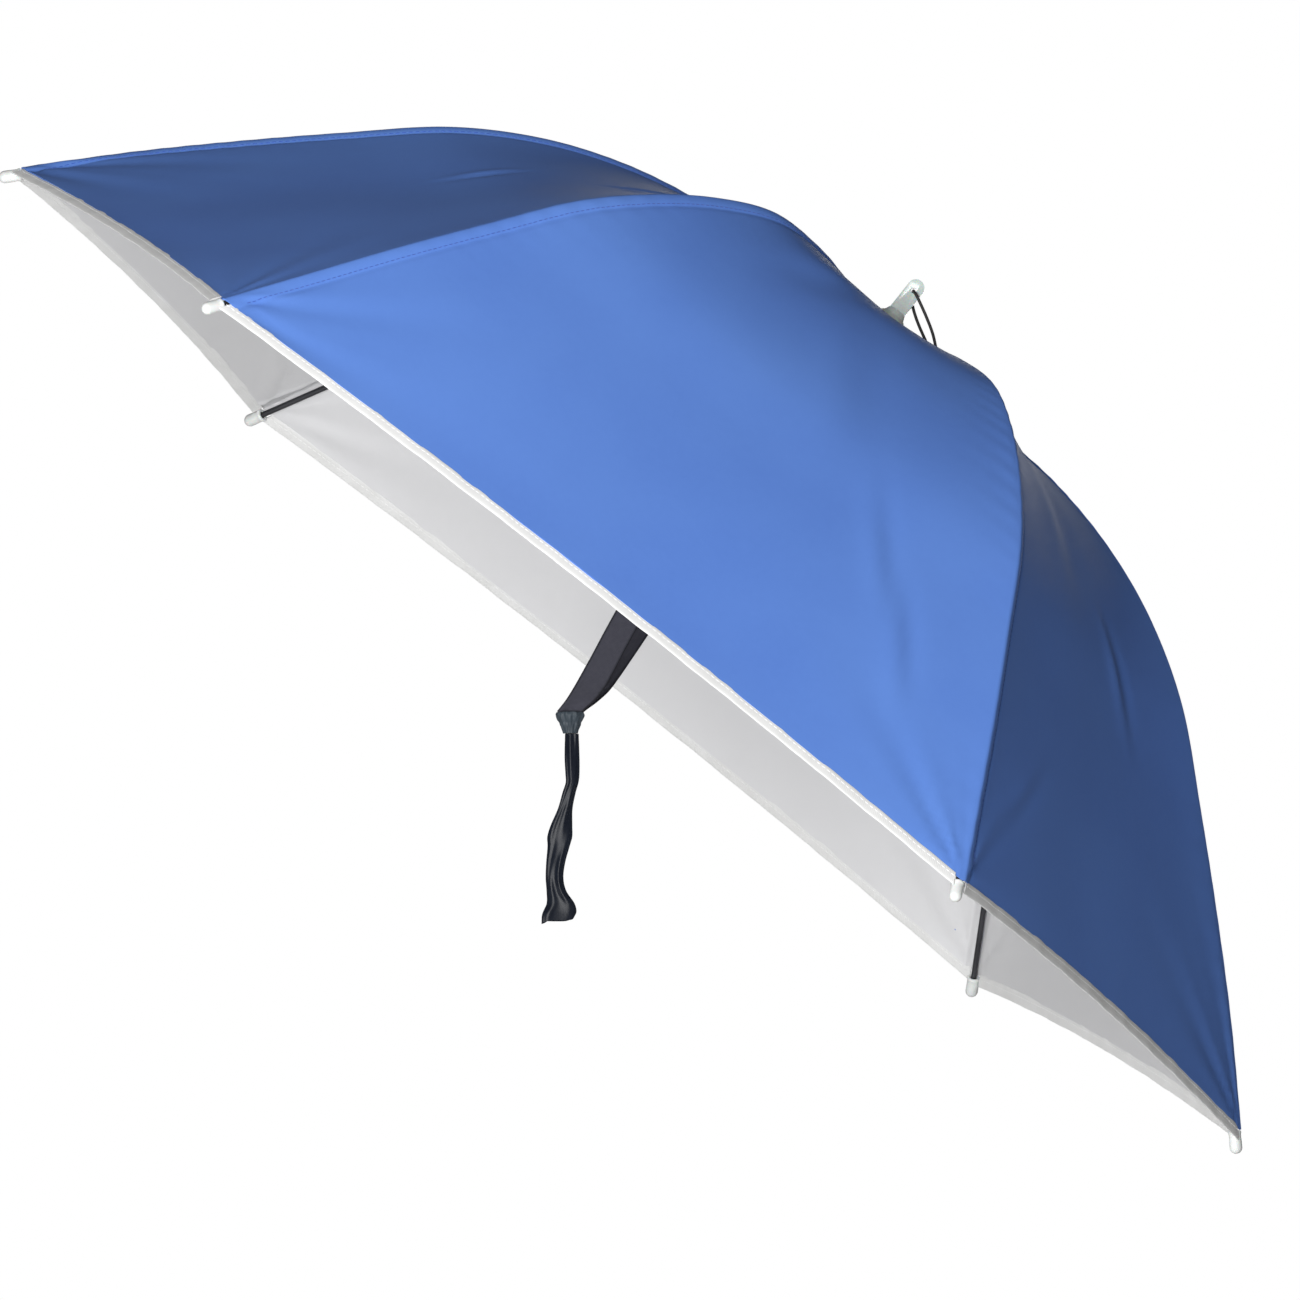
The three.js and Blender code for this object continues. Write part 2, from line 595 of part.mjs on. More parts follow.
// A rod, ribbon or bundle through flat sections: each has a middle, two directions and a list of [a, b] corners.
function loft(sections) {
  const sides = sections[0].corners.length;
  const points = sections.flatMap(({ middle, a, b, corners }) =>
    corners.map(([x, y]) => middle.clone().addScaledVector(a, x).addScaledVector(b, y)),
  );
  const index = [];
  for (let i = 0; i + 1 < sections.length; i++) {
    for (let j = 0; j < sides; j++) {
      const [p, q] = [i * sides + j, i * sides + ((j + 1) % sides)];
      index.push(p, q, q + sides, p, q + sides, p + sides);
    }
  }
  const last = (sections.length - 1) * sides;
  for (let j = 1; j + 1 < sides; j++) {
    index.push(0, j + 1, j);
    index.push(last, last + j, last + j + 1);
  }
  return closed(points, index);
}

// One side of the chin strap, from its seam on the headband to the slide. side is 1 on the left, -1 on the right.
const STRAP_STEPS = 24;
const WAY_STEP = 0.01;
const STRAP_LEVELS = 0.86; // from this share on, the strap's sections turn level to meet the slide
const DOWN = new THREE.Vector3(0, 0, -1);
function chinStrap(side) {
  const rearEdge = (STRAP_FORWARD - STRAP_WIDTH / 2 - STRAP_DRIFT) / (BAND_LENGTH / 2);
  const away = (BAND_BREADTH / 2) * Math.sqrt(1 - rearEdge ** 2) + GAP + STRAP_WALL / 2;
  const start = fromHat(0, -STRAP_FORWARD, BAND_HEIGHT + STRAP_SEWN);
  const end = new THREE.Vector3(0, -GATHER_FORWARD, -GATHER_DROP + SLIDE_TALL / 2 + GAP);
  const row = (column, share) => tableAt(STRAP_ROWS, "along", column, share);
  const point = (share) =>
    new THREE.Vector3(
      side * away * row("out", share),
      THREE.MathUtils.lerp(start.y, end.y, row("forward", share)),
      THREE.MathUtils.lerp(start.z, end.z, row("down", share)),
    );
  const sections = [];
  for (let i = 0; i <= STRAP_STEPS; i++) {
    const share = i / STRAP_STEPS;
    const way = point(Math.min(1, share + WAY_STEP)).sub(point(Math.max(0, share - WAY_STEP))).normalize();
    way.lerp(DOWN, THREE.MathUtils.smoothstep(share, STRAP_LEVELS, 1)).normalize();
    const face = new THREE.Vector3().crossVectors(way, LEFT).normalize();
    const thick = new THREE.Vector3().crossVectors(way, face);
    const wide = (STRAP_WIDTH / 2) * row("wide", share);
    const half = STRAP_WALL / 2;
    const corners = [[-wide, -half], [wide, -half], [wide, half], [-wide, half]];
    sections.push({ middle: point(share), a: face, b: thick, corners });
  }
  return loft(sections);
}

// The slide that gathers both straps and the tail.
const SLIDE_ROWS = [
  { up: -0.5, wide: 0.5 },
  { up: -0.36, wide: 0.56 },
  { up: 0.0, wide: 0.76 },
  { up: 0.36, wide: 0.98 },
  { up: 0.5, wide: 0.92 },
];
const ROUND_SIDES = 14;
const BACK = new THREE.Vector3(0, 1, 0);
function strapSlide() {
  const middle = new THREE.Vector3(0, -GATHER_FORWARD, -GATHER_DROP);
  const sections = SLIDE_ROWS.map(({ up, wide }) => ({
    middle: middle.clone().addScaledVector(UP, up * SLIDE_TALL),
    a: LEFT,
    b: BACK,
    corners: oval((wide * SLIDE_BREADTH) / 2, (wide * SLIDE_DEPTH) / 2, ROUND_SIDES),
  }));
  return loft(sections);
}

// The loose tail under the slide, crumpled and flared at its end.
const TAIL_STEPS = 22;
function strapTail() {
  const top = new THREE.Vector3(0, -GATHER_FORWARD, -GATHER_DROP - SLIDE_TALL / 2 - GAP);
  const sections = [];
  for (let i = 0; i <= TAIL_STEPS; i++) {
    const share = i / TAIL_STEPS;
    const row = (column) => tableAt(TAIL_ROWS, "along", column, share);
    const turn = THREE.MathUtils.degToRad(row("turn"));
    const middle = top.clone().add(new THREE.Vector3(0, row("back") * TAIL_LENGTH, -share * TAIL_LENGTH));
    const corners = oval((row("wide") * TAIL_WIDTH) / 2, (row("deep") * TAIL_WIDTH) / 2, ROUND_SIDES);
    const a = BACK.clone().applyAxisAngle(UP, turn);
    sections.push({ middle, a, b: LEFT.clone().applyAxisAngle(UP, turn), corners });
  }
  return loft(sections);
}

RIBS.forEach((place, i) => {
  const next = RIBS[(i + 1) % RIBS.length];
  hat.add(piece(`gore_${GORES[i]}`, gore(place, next), BLUE_CLOTH));
  hat.add(piece(`hem_${GORES[i]}`, hem(place, next), WHITE_CLOTH));
  hat.add(piece(`rib_${place.name}`, rib(place), DARK_STEEL));
  hat.add(piece(`tip_cap_${place.name}`, tipCap(place), WHITE_PLASTIC));
  hat.add(piece(`band_leg_${place.name}`, leg(place), WHITE_PLASTIC));
});
hat.add(piece("hub", hub(), WHITE_PLASTIC));
hat.add(piece("finial", finial(), CLEAR_PLASTIC));
hat.add(piece("elastic_loop", elasticLoop(), BLACK_ELASTIC));
hat.add(piece("headband", headband(), BLACK_ELASTIC));

const umbrellaHat = new THREE.Group();
umbrellaHat.add(hat);
umbrellaHat.add(piece("chin_strap_left", chinStrap(1), CHARCOAL_TAPE));
umbrellaHat.add(piece("chin_strap_right", chinStrap(-1), CHARCOAL_TAPE));
umbrellaHat.add(piece("strap_slide", strapSlide(), CHARCOAL_TAPE));
umbrellaHat.add(piece("strap_tail", strapTail(), BLACK_RIBBON));

export default umbrellaHat;
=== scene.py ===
"""An umbrella hat: the cloth, bindings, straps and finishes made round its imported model.

Shapes are worked out in millimetres. The canopy's are in the hat's own frame, whose rim plane is z = 0, and
from_hat tilts them back as the hat is worn. Meshes are in metres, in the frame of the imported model.
"""

import math

import bmesh
import bpy
import numpy as np
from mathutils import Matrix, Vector


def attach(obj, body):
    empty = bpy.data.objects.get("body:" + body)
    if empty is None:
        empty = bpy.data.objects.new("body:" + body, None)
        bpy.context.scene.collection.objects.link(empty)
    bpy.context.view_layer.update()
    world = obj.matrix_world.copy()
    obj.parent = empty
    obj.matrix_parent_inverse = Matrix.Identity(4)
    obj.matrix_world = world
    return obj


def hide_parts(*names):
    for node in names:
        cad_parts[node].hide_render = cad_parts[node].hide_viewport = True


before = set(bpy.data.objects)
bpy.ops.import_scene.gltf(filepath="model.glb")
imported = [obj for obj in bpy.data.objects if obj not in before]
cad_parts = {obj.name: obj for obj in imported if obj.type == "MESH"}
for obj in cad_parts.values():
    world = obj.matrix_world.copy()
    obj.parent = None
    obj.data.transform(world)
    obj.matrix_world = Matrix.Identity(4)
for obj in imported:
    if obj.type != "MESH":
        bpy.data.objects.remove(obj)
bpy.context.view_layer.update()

MM = 0.001

# Driving dimensions, in millimetres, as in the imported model.
TILT = math.radians(38.4)
RIM_RADIUS = 407.5
CROWN_HEIGHT = 226.6
FRONT_RIB_ANGLE = 51.3
BACK_RIB_ANGLE = 55.4
BAND_HEIGHT = 122
GAP = 0.3
GORE_SAG = 7
HEM_BOW = 5
RIB_DIAMETER = 3
RIB_DEPTH = 1 + GAP + RIB_DIAMETER / 2
CAP_DIAMETER = 6.6
CAP_LENGTH = 12
CAP_WALL = 2.6
RIB_INNER = 9.9
ELASTIC_DIAMETER = 1.6
BAND_LENGTH = 200
BAND_BREADTH = 165
BAND_TALL = 30
BAND_WALL = 2
STRAP_WIDTH = 14.2
STRAP_WALL = 1.5
STRAP_FORWARD = 22
STRAP_SEWN = 10
STRAP_DRIFT = 4
GATHER_FORWARD = 102.5
GATHER_DROP = 129
SLIDE_BREADTH = 11
SLIDE_DEPTH = 15
SLIDE_TALL = 11
TAIL_LENGTH = 97.5
TAIL_WIDTH = 19

# The cloth's height over a rib by its reach from the axis, as shares of CROWN_HEIGHT and RIM_RADIUS.
RIB_ROWS = [
    {"reach": 0.03, "ends": 0.985, "sides": 0.985},
    {"reach": 0.1, "ends": 0.968, "sides": 0.992},
    {"reach": 0.2, "ends": 0.946, "sides": 1.006},
    {"reach": 0.3, "ends": 0.932, "sides": 0.996},
    {"reach": 0.4, "ends": 0.893, "sides": 0.932},
    {"reach": 0.5, "ends": 0.822, "sides": 0.836},
    {"reach": 0.6, "ends": 0.711, "sides": 0.71},
    {"reach": 0.7, "ends": 0.551, "sides": 0.54},
    {"reach": 0.8, "ends": 0.384, "sides": 0.366},
    {"reach": 0.9, "ends": 0.209, "sides": 0.183},
    {"reach": 1.0, "ends": 0.02, "sides": 0.0},
]
SAG_ROWS = [
    {"along": 0.0, "sag": 0.0},
    {"along": 0.25, "sag": 0.86},
    {"along": 0.5, "sag": 1.0},
    {"along": 0.75, "sag": 0.7},
    {"along": 1.0, "sag": 0.1},
]

# The chin strap's path from its seam to the slide, as shares.
STRAP_ROWS = [
    {"along": 0.0, "forward": 0.0, "down": 0.0, "out": 1.0, "wide": 1.0},
    {"along": 0.14, "forward": 0.134, "down": 0.14, "out": 1.0, "wide": 1.0},
    {"along": 0.36, "forward": 0.34, "down": 0.355, "out": 0.94, "wide": 1.0},
    {"along": 0.58, "forward": 0.545, "down": 0.57, "out": 0.79, "wide": 1.0},
    {"along": 0.77, "forward": 0.722, "down": 0.755, "out": 0.55, "wide": 1.0},
    {"along": 0.9, "forward": 0.848, "down": 0.885, "out": 0.28, "wide": 1.02},
    {"along": 0.96, "forward": 0.93, "down": 0.955, "out": 0.11, "wide": 1.03},
    {"along": 1.0, "forward": 1.0, "down": 1.0, "out": 0.035, "wide": 0.98},
]

# The tail's sections: along and back are shares of TAIL_LENGTH, wide and deep of TAIL_WIDTH, and turn is in
# degrees. fold is how deep the ribbon's lengthwise folds are, as a share of its depth.
TAIL_ROWS = [
    {"along": 0.0, "back": 0.009, "wide": 0.38, "deep": 0.3, "turn": 0, "fold": 0.3},
    {"along": 0.13, "back": 0.01, "wide": 0.415, "deep": 0.28, "turn": 6, "fold": 0.3},
    {"along": 0.22, "back": 0.012, "wide": 0.39, "deep": 0.28, "turn": 12, "fold": 0.25},
    {"along": 0.26, "back": 0.01, "wide": 0.36, "deep": 0.29, "turn": 16, "fold": 0.3},
    {"along": 0.31, "back": -0.005, "wide": 0.37, "deep": 0.3, "turn": 18, "fold": 0.3},
    {"along": 0.4, "back": -0.027, "wide": 0.41, "deep": 0.26, "turn": 12, "fold": 0.4},
    {"along": 0.49, "back": -0.047, "wide": 0.6, "deep": 0.2, "turn": 4, "fold": 0.35},
    {"along": 0.55, "back": -0.056, "wide": 0.69, "deep": 0.18, "turn": 0, "fold": 0.3},
    {"along": 0.6, "back": -0.062, "wide": 0.62, "deep": 0.19, "turn": -6, "fold": 0.3},
    {"along": 0.69, "back": -0.078, "wide": 0.54, "deep": 0.23, "turn": -12, "fold": 0.45},
    {"along": 0.77, "back": -0.084, "wide": 0.5, "deep": 0.25, "turn": -10, "fold": 0.5},
    {"along": 0.84, "back": -0.074, "wide": 0.55, "deep": 0.24, "turn": -6, "fold": 0.5},
    {"along": 0.91, "back": -0.051, "wide": 0.78, "deep": 0.2, "turn": 0, "fold": 0.4},
    {"along": 0.96, "back": -0.058, "wide": 0.95, "deep": 0.18, "turn": 5, "fold": 0.35},
    {"along": 1.0, "back": -0.066, "wide": 0.9, "deep": 0.14, "turn": 6, "fold": 0.3},
]

# The elastic loop's route from the finial's eye round and back into it, in the hat's frame.
LOOP_ROUTE = [
    (0.7, 0.0, 244.9), (2.6, 0.0, 244.9), (4.5, 0.6, 244.8), (6.0, 2.6, 244.0), (6.4, 6.0, 242.4),
    (6.6, 14.0, 238.2), (6.8, 22.0, 233.4), (7.0, 29.0, 227.8), (7.2, 35.0, 223.2), (7.4, 42.0, 220.9),
    (7.4, 50.0, 220.1), (6.6, 57.0, 219.8), (3.8, 61.6, 219.8), (0.0, 63.2, 219.9), (-3.8, 61.6, 219.8),
    (-6.6, 57.0, 219.8), (-7.4, 50.0, 220.1), (-7.4, 42.0, 220.9), (-7.2, 34.0, 222.4), (-7.0, 27.0, 225.6),
    (-6.8, 20.0, 229.3), (-6.6, 12.0, 233.6), (-6.6, 5.6, 237.8), (-6.6, 1.4, 241.6), (-5.4, -0.2, 244.2),
    (-3.0, 0.0, 244.9), (-0.7, 0.0, 244.9),
]

# Ribs round the canopy, by the angle from the back towards the hat's left.
RIBS = [
    {"name": "back", "angle": 0, "form": "ends"},
    {"name": "back_left", "angle": BACK_RIB_ANGLE, "form": "sides"},
    {"name": "front_left", "angle": 180 - FRONT_RIB_ANGLE, "form": "sides"},
    {"name": "front", "angle": 180, "form": "ends"},
    {"name": "front_right", "angle": 180 + FRONT_RIB_ANGLE, "form": "sides"},
    {"name": "back_right", "angle": 360 - BACK_RIB_ANGLE, "form": "sides"},
]
GORES = ["back_left", "left", "front_left", "front_right", "right", "back_right"]


# Small geometry helpers.
def unit(vectors):
    return vectors / np.linalg.norm(vectors, axis=-1, keepdims=True)


def column(rows, name):
    return np.array([row[name] for row in rows], float)


def table_at(rows, key, name, share):
    """The smooth value of a table's column at a share of its key column."""
    keys = column(rows, key)
    values = column(rows, name)
    before = np.maximum(np.arange(len(keys)) - 1, 0)
    after = np.minimum(np.arange(len(keys)) + 1, len(keys) - 1)
    slopes = (values[after] - values[before]) / (keys[after] - keys[before])
    share = np.asarray(share, float)
    i = np.clip(np.searchsorted(keys, share, side="right") - 1, 0, len(keys) - 2)
    span = keys[i + 1] - keys[i]
    t = (share - keys[i]) / span
    start = slopes[i] * span
    end = slopes[i + 1] * span
    change = values[i + 1] - values[i]
    return values[i] + start * t + (3 * change - 2 * start - end) * t**2 + (start + end - 2 * change) * t**3


def from_hat(points):
    """Points of the hat's frame in the part's frame."""
    x, y, z = np.moveaxis(np.asarray(points, float), -1, 0)
    z = z - BAND_HEIGHT
    turned_y = y * math.cos(TILT) + z * math.sin(TILT)
    turned_z = z * math.cos(TILT) - y * math.sin(TILT)
    return np.stack([x, turned_y, turned_z], -1)


def rib_top(rib, reach):
    """The cloth's outer surface over a rib."""
    reach = np.asarray(reach, float)
    height = CROWN_HEIGHT * table_at(RIB_ROWS, "reach", rib["form"], reach / RIM_RADIUS)
    angle = math.radians(rib["angle"])
    return np.stack([reach * math.sin(angle), reach * math.cos(angle), height], -1)


def rib_frame(rib, reach):
    """The way out along a rib, up off the cloth, and across it."""
    out = unit(rib_top(rib, reach + 0.5) - rib_top(rib, reach - 0.5))
    angle = math.radians(rib["angle"])
    across = np.broadcast_to([math.cos(angle), -math.sin(angle), 0.0], out.shape)
    return out, unit(np.cross(across, out)), across


def ridge_fall(rib, reach):
    """How steeply the cloth falls away to the steeper side of a rib."""
    _, up, across = rib_frame(rib, reach)
    place = RIBS.index(rib)
    falls = []
    for step in (1, -1):
        chord = rib_top(RIBS[(place + step) % len(RIBS)], reach) - rib_top(rib, reach)
        dip = np.arctan(4 * GORE_SAG / np.linalg.norm(chord, axis=-1))
        down = -(chord * up).sum(-1)
        side = np.abs((chord * across).sum(-1))
        falls.append(np.arctan2(down, side) + dip)
    return np.maximum(*falls)


def rib_centre(rib, reach):
    """The rib's own centreline under the cloth."""
    fall = np.minimum(ridge_fall(rib, reach), math.radians(40))
    up = rib_frame(rib, reach)[1]
    return rib_top(rib, reach) - up * (RIB_DEPTH / np.cos(fall))[..., None]


CORNER_REACH = RIM_RADIUS + (RIB_DEPTH - CAP_LENGTH / 2) * math.sin(math.pi / 4)
HUB_REACH = RIB_ROWS[0]["reach"] * RIM_RADIUS


def gore_point(first, second, across, reach):
    """A point of the cloth between two ribs: across is 0 on the first and 1 on the second."""
    a = rib_top(first, reach)
    chord = rib_top(second, reach) - a
    inward = unit(np.cross(chord, rib_frame(first, reach)[0] + rib_frame(second, reach)[0]))
    inward = np.where(inward[..., 2:] > 0, -inward, inward)
    along = np.clip((reach - HUB_REACH) / (CORNER_REACH - HUB_REACH), 0, 1)
    sag = GORE_SAG * table_at(SAG_ROWS, "along", "sag", along) * 4 * across * (1 - across)
    return a + chord * across[..., None] + inward * sag[..., None]


def hem_reach(across):
    return CORNER_REACH - HEM_BOW * 4 * across * (1 - across)


# Mesh helpers.
def add_mesh(name, points, faces, finishes, finish_of_face=None, uvs=None, crease=40):
    """A smooth mesh object in the part's frame, from points in millimetres."""
    mesh = bpy.data.meshes.new(name)
    mesh.from_pydata((np.asarray(points) * MM).tolist(), [], faces)
    for finish in finishes:
        mesh.materials.append(finish)
    if finish_of_face is not None:
        mesh.polygons.foreach_set("material_index", np.asarray(finish_of_face, np.int32))
    if uvs is not None:
        corners = np.empty(len(mesh.loops), np.int32)
        mesh.loops.foreach_get("vertex_index", corners)
        layer = mesh.uv_layers.new(name="UVMap")
        layer.data.foreach_set("uv", np.asarray(uvs, np.float32)[corners].ravel())
    mesh.polygons.foreach_set("use_smooth", np.ones(len(mesh.polygons), bool))
    mesh.update()
    mesh.set_sharp_from_angle(angle=math.radians(crease))
    made = bpy.data.objects.new(name, mesh)
    bpy.context.scene.collection.objects.link(made)
    return made


def dress(piece, slot, *nodes):
    """Ties a piece to the hat, and hides the solids that it stands for."""
    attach(piece, "root")
    if nodes:
        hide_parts(*nodes)
    return piece


def quads(rows, columns, ring=False, base=0):
    """The faces of a grid of points with that many rows and columns, closed round its columns or not."""
    i = np.arange(rows - 1)[:, None] * columns
    j = np.arange(columns if ring else columns - 1)[None, :]
    k = (j + 1) % columns
    return (base + np.stack([i + j, i + k, i + columns + k, i + columns + j], -1)).reshape(-1, 4)


def tube_mesh(name, sections, finish, uvs=None, crease=40):
    """A closed tube through a (sections, sides, 3) array of points."""
    rows, sides = sections.shape[:2]
    faces = quads(rows, sides, ring=True).tolist()
    faces.append(list(range(sides))[::-1])
    faces.append(list(range((rows - 1) * sides, rows * sides)))
    return add_mesh(name, sections.reshape(-1, 3), faces, [finish], uvs=uvs, crease=crease)


def swept(middles, a, b, corners):
    """Sections whose corners, an (..., sides, 2) array, lie in the directions a and b round the middles."""
    return middles[:, None] + a[:, None] * corners[..., :1] + b[:, None] * corners[..., 1:]


def round_corners(half_width, half_wall, sides, squareness=4):
    """A flat section with round edges, as a superellipse."""
    angle = np.linspace(0, 2 * math.pi, sides, endpoint=False)
    cos = np.cos(angle)
    sin = np.sin(angle)
    x = np.sign(cos) * np.abs(cos) ** (2 / squareness)
    y = np.sign(sin) * np.abs(sin) ** (2 / squareness)
    return np.stack([x * half_width, y * half_wall], -1)


# Stitches, in millimetres, and one stitch's outline as shares of its length and thickness.
STITCHES = {
    "seam": {"pitch": 3.4, "length": 2.5, "thick": 0.4},
    "binding": {"pitch": 3.2, "length": 2.3, "thick": 0.42},
    "strap": {"pitch": 2.4, "length": 1.8, "thick": 0.4},
}
STITCH_OUTLINE = [(-0.5, 0.25), (-0.32, 0.85), (0, 1), (0.32, 0.85), (0.5, 0.25)]
STITCH_SIDES = 6


def stitches(name, middles, ways, ups, kind, finish):
    """A row of thread stitches as one mesh: middles, their directions and the way off the cloth."""
    rings = np.array(STITCH_OUTLINE)
    sides = STITCH_SIDES
    length = STITCHES[kind]["length"]
    thickness = STITCHES[kind]["thick"]
    angle = np.linspace(0, 2 * math.pi, sides, endpoint=False)
    ways = unit(ways)
    asides = unit(np.cross(ways, ups))
    ups = np.cross(asides, ways)
    along = middles[:, None, None] + ways[:, None, None] * (rings[:, 0] * length)[None, :, None, None]
    radius = (rings[:, 1] * thickness / 2)[None, :, None, None]
    cos = np.cos(angle)[None, None, :, None]
    sin = np.sin(angle)[None, None, :, None]
    points = along + radius * (asides[:, None, None] * cos + ups[:, None, None] * sin)
    one = len(rings) * sides
    faces = []
    grid = quads(len(rings), sides, ring=True)
    for k in range(len(middles)):
        faces.extend((grid + k * one).tolist())
        faces.append([k * one + side for side in reversed(range(sides))])
        faces.append([(k + 1) * one - sides + side for side in range(sides)])
    return add_mesh(name, points.reshape(-1, 3), faces, [finish])


def sampled(at, places, values):
    """The vectors between the given ones, at some places along them."""
    return np.stack([np.interp(at, places, values[:, k]) for k in range(3)], -1)


def spaced(path, pitch):
    """Points at an even pitch along a path, the path's direction at each, and their shares of its length."""
    steps = np.linalg.norm(np.diff(path, axis=0), axis=1)
    run = np.concatenate([[0], np.cumsum(steps)])
    at = np.arange(pitch / 2, run[-1], pitch)
    way = sampled(at + 0.5, run, path) - sampled(at - 0.5, run, path)
    return sampled(at, run, path), way, at / run[-1]


# Shader maths.
class Link:
    """An output socket. Arithmetic on it adds Math nodes to its finish."""

    def __init__(self, finish, socket):
        self.finish = finish
        self.socket = socket

    def __add__(self, other):
        return self.finish.maths("ADD", self, other)

    def __sub__(self, other):
        return self.finish.maths("SUBTRACT", self, other)

    def __rsub__(self, other):
        return self.finish.maths("SUBTRACT", other, self)

    def __mul__(self, other):
        return self.finish.maths("MULTIPLY", self, other)

    def __pow__(self, other):
        return self.finish.maths("POWER", self, other)

    __radd__ = __add__
    __rmul__ = __mul__


class Finish:
    """A material in the making. The constants go on its shader's own sockets."""

    def __init__(self, name, constants):
        self.material = bpy.data.materials.new(name)
        self.material.use_nodes = True
        self.tree = self.material.node_tree
        self.shader = self.tree.nodes["Principled BSDF"]
        for socket, value in constants.items():
            self.shader.inputs[socket].default_value = value

    def feed(self, socket, value):
        if isinstance(value, Link):
            self.tree.links.new(value.socket, socket)
        else:
            socket.default_value = value

    def add(self, kind, settings=None, inputs=None, out=0):
        node = self.tree.nodes.new(kind)
        for key, value in (settings or {}).items():
            setattr(node, key, value)
        for key, value in (inputs or {}).items():
            self.feed(node.inputs[key], value)
        return Link(self, node.outputs[out])

    def maths(self, operation, *values):
        return self.add("ShaderNodeMath", {"operation": operation}, dict(enumerate(values)))

    def blend(self, share, first, second):
        """A colour between two colours."""
        inputs = {0: share, 6: first, 7: second}
        return self.add("ShaderNodeMix", {"data_type": "RGBA"}, inputs, out=2)

    def place(self, kind="Object"):
        """The surface's own coordinates."""
        return self.add("ShaderNodeTexCoord", out=kind)

    def axis(self, vector, name):
        return self.add("ShaderNodeSeparateXYZ", inputs={0: vector}, out=name)

    def noise(self, vector, scale, detail=2):
        return self.add("ShaderNodeTexNoise", inputs={"Vector": vector, "Scale": scale, "Detail": detail})

    def wave(self, value, pitch, phase=0):
        """A smooth ripple from 0 to 1 along a length in metres."""
        return self.maths("SINE", value * (2 * math.pi / pitch) + phase) * 0.5 + 0.5

    def weave(self, pitch_u, pitch_v):
        """A plain weave's height over the mesh's own lengths across and along."""
        uv = self.place("UV")
        across = self.axis(uv, "X")
        along = self.axis(uv, "Y")
        warp = self.wave(across, pitch_u)
        weft = self.wave(along, pitch_v)
        return warp * (1 - weft) + weft * (1 - warp)

    def bump(self, height, distance, strength=1, normal=None):
        inputs = {"Height": height, "Distance": distance, "Strength": strength}
        if normal is not None:
            inputs["Normal"] = normal
        return self.add("ShaderNodeBump", inputs=inputs)

    def done(self, **fed):
        for socket, value in fed.items():
            self.feed(self.shader.inputs[socket.replace("_", " ")], value)
        return self.material


def blue_cloth():
    """Close-woven polyester with a soft sheen."""
    finish = Finish("blue_cloth", {"Sheen Weight": 0.01, "Sheen Roughness": 0.4, "Specular IOR Level": 0.1})
    spot = finish.place()
    cloudy = finish.noise(spot, 9, 3)
    slub = finish.noise(spot, 240, 2)
    shade = finish.blend(cloudy, (0.086, 0.186, 0.570, 1), (0.126, 0.260, 0.675, 1))
    colour = finish.blend(slub * 0.25, shade, (0.13, 0.27, 0.70, 1))
    thread = finish.bump(finish.weave(0.0007, 0.0007), 0.00008, 0.5)
    soft = finish.bump(cloudy, 0.002, 0.25, thread)
    return finish.done(Base_Color=colour, Roughness=0.4 + cloudy * 0.14, Normal=soft)


def silver_coating():
    """The cloth's silver-grey coated inner face."""
    finish = Finish("silver_coating", {"Specular IOR Level": 0.35, "Sheen Weight": 0.05})
    spot = finish.place()
    cloudy = finish.noise(spot, 7, 3)
    colour = finish.blend(cloudy, (0.65, 0.65, 0.665, 1), (0.73, 0.73, 0.74, 1))
    thread = finish.bump(finish.weave(0.0007, 0.0007), 0.00006, 0.4)
    soft = finish.bump(cloudy, 0.003, 0.25, thread)
    rough = 0.46 + cloudy * 0.12
    return finish.done(Base_Color=colour, Roughness=rough, Metallic=0.12 + cloudy * 0.06, Normal=soft)


def white_binding():
    """Ribbed white binding tape."""
    finish = Finish("white_binding", {"Sheen Weight": 0.2, "Roughness": 0.75})
    uv = finish.place("UV")
    ribs = finish.wave(finish.axis(uv, "Y"), 0.0011)
    worn = finish.noise(finish.place(), 60, 3)
    colour = finish.blend(worn, (0.66, 0.66, 0.65, 1), (0.80, 0.80, 0.80, 1))
    return finish.done(Base_Color=colour, Normal=finish.bump(ribs + worn * 0.4, 0.0001, 0.6))


def thread(name, colour):
    """Twisted sewing thread."""
    finish = Finish(name, {"Roughness": 0.6, "Sheen Weight": 0.3})
    fuzz = finish.noise(finish.place(), 900, 2)
    dark = tuple(0.8 * part for part in colour) + (1,)
    return finish.done(Base_Color=finish.blend(fuzz, dark, colour + (1,)))


def dark_steel():
    """Blackened steel wire, rubbed in places."""
    finish = Finish("dark_steel", {"Metallic": 0.85})
    spot = finish.place()
    rubbed = finish.noise(spot, 45, 4)
    drawn = finish.noise(spot, 500, 1)
    colour = finish.blend(rubbed, (0.035, 0.036, 0.040, 1), (0.10, 0.10, 0.11, 1))
    return finish.done(Base_Color=colour, Roughness=0.3 + rubbed * 0.25, Normal=finish.bump(drawn, 0.0001, 0.3))


def white_plastic():
    """Glossy moulded white plastic."""
    finish = Finish("white_plastic", {
        "Subsurface Weight": 0.08,
        "Subsurface Scale": 0.003,
        "Coat Weight": 0.15,
        "Coat Roughness": 0.2,
    })
    spot = finish.place()
    grime = finish.noise(spot, 55, 4)
    skin = finish.noise(spot, 700, 2)
    colour = finish.blend(grime ** 2, (0.74, 0.76, 0.75, 1), (0.60, 0.62, 0.60, 1))
    return finish.done(Base_Color=colour, Roughness=0.26 + skin * 0.16, Normal=finish.bump(skin, 0.0001, 0.25))


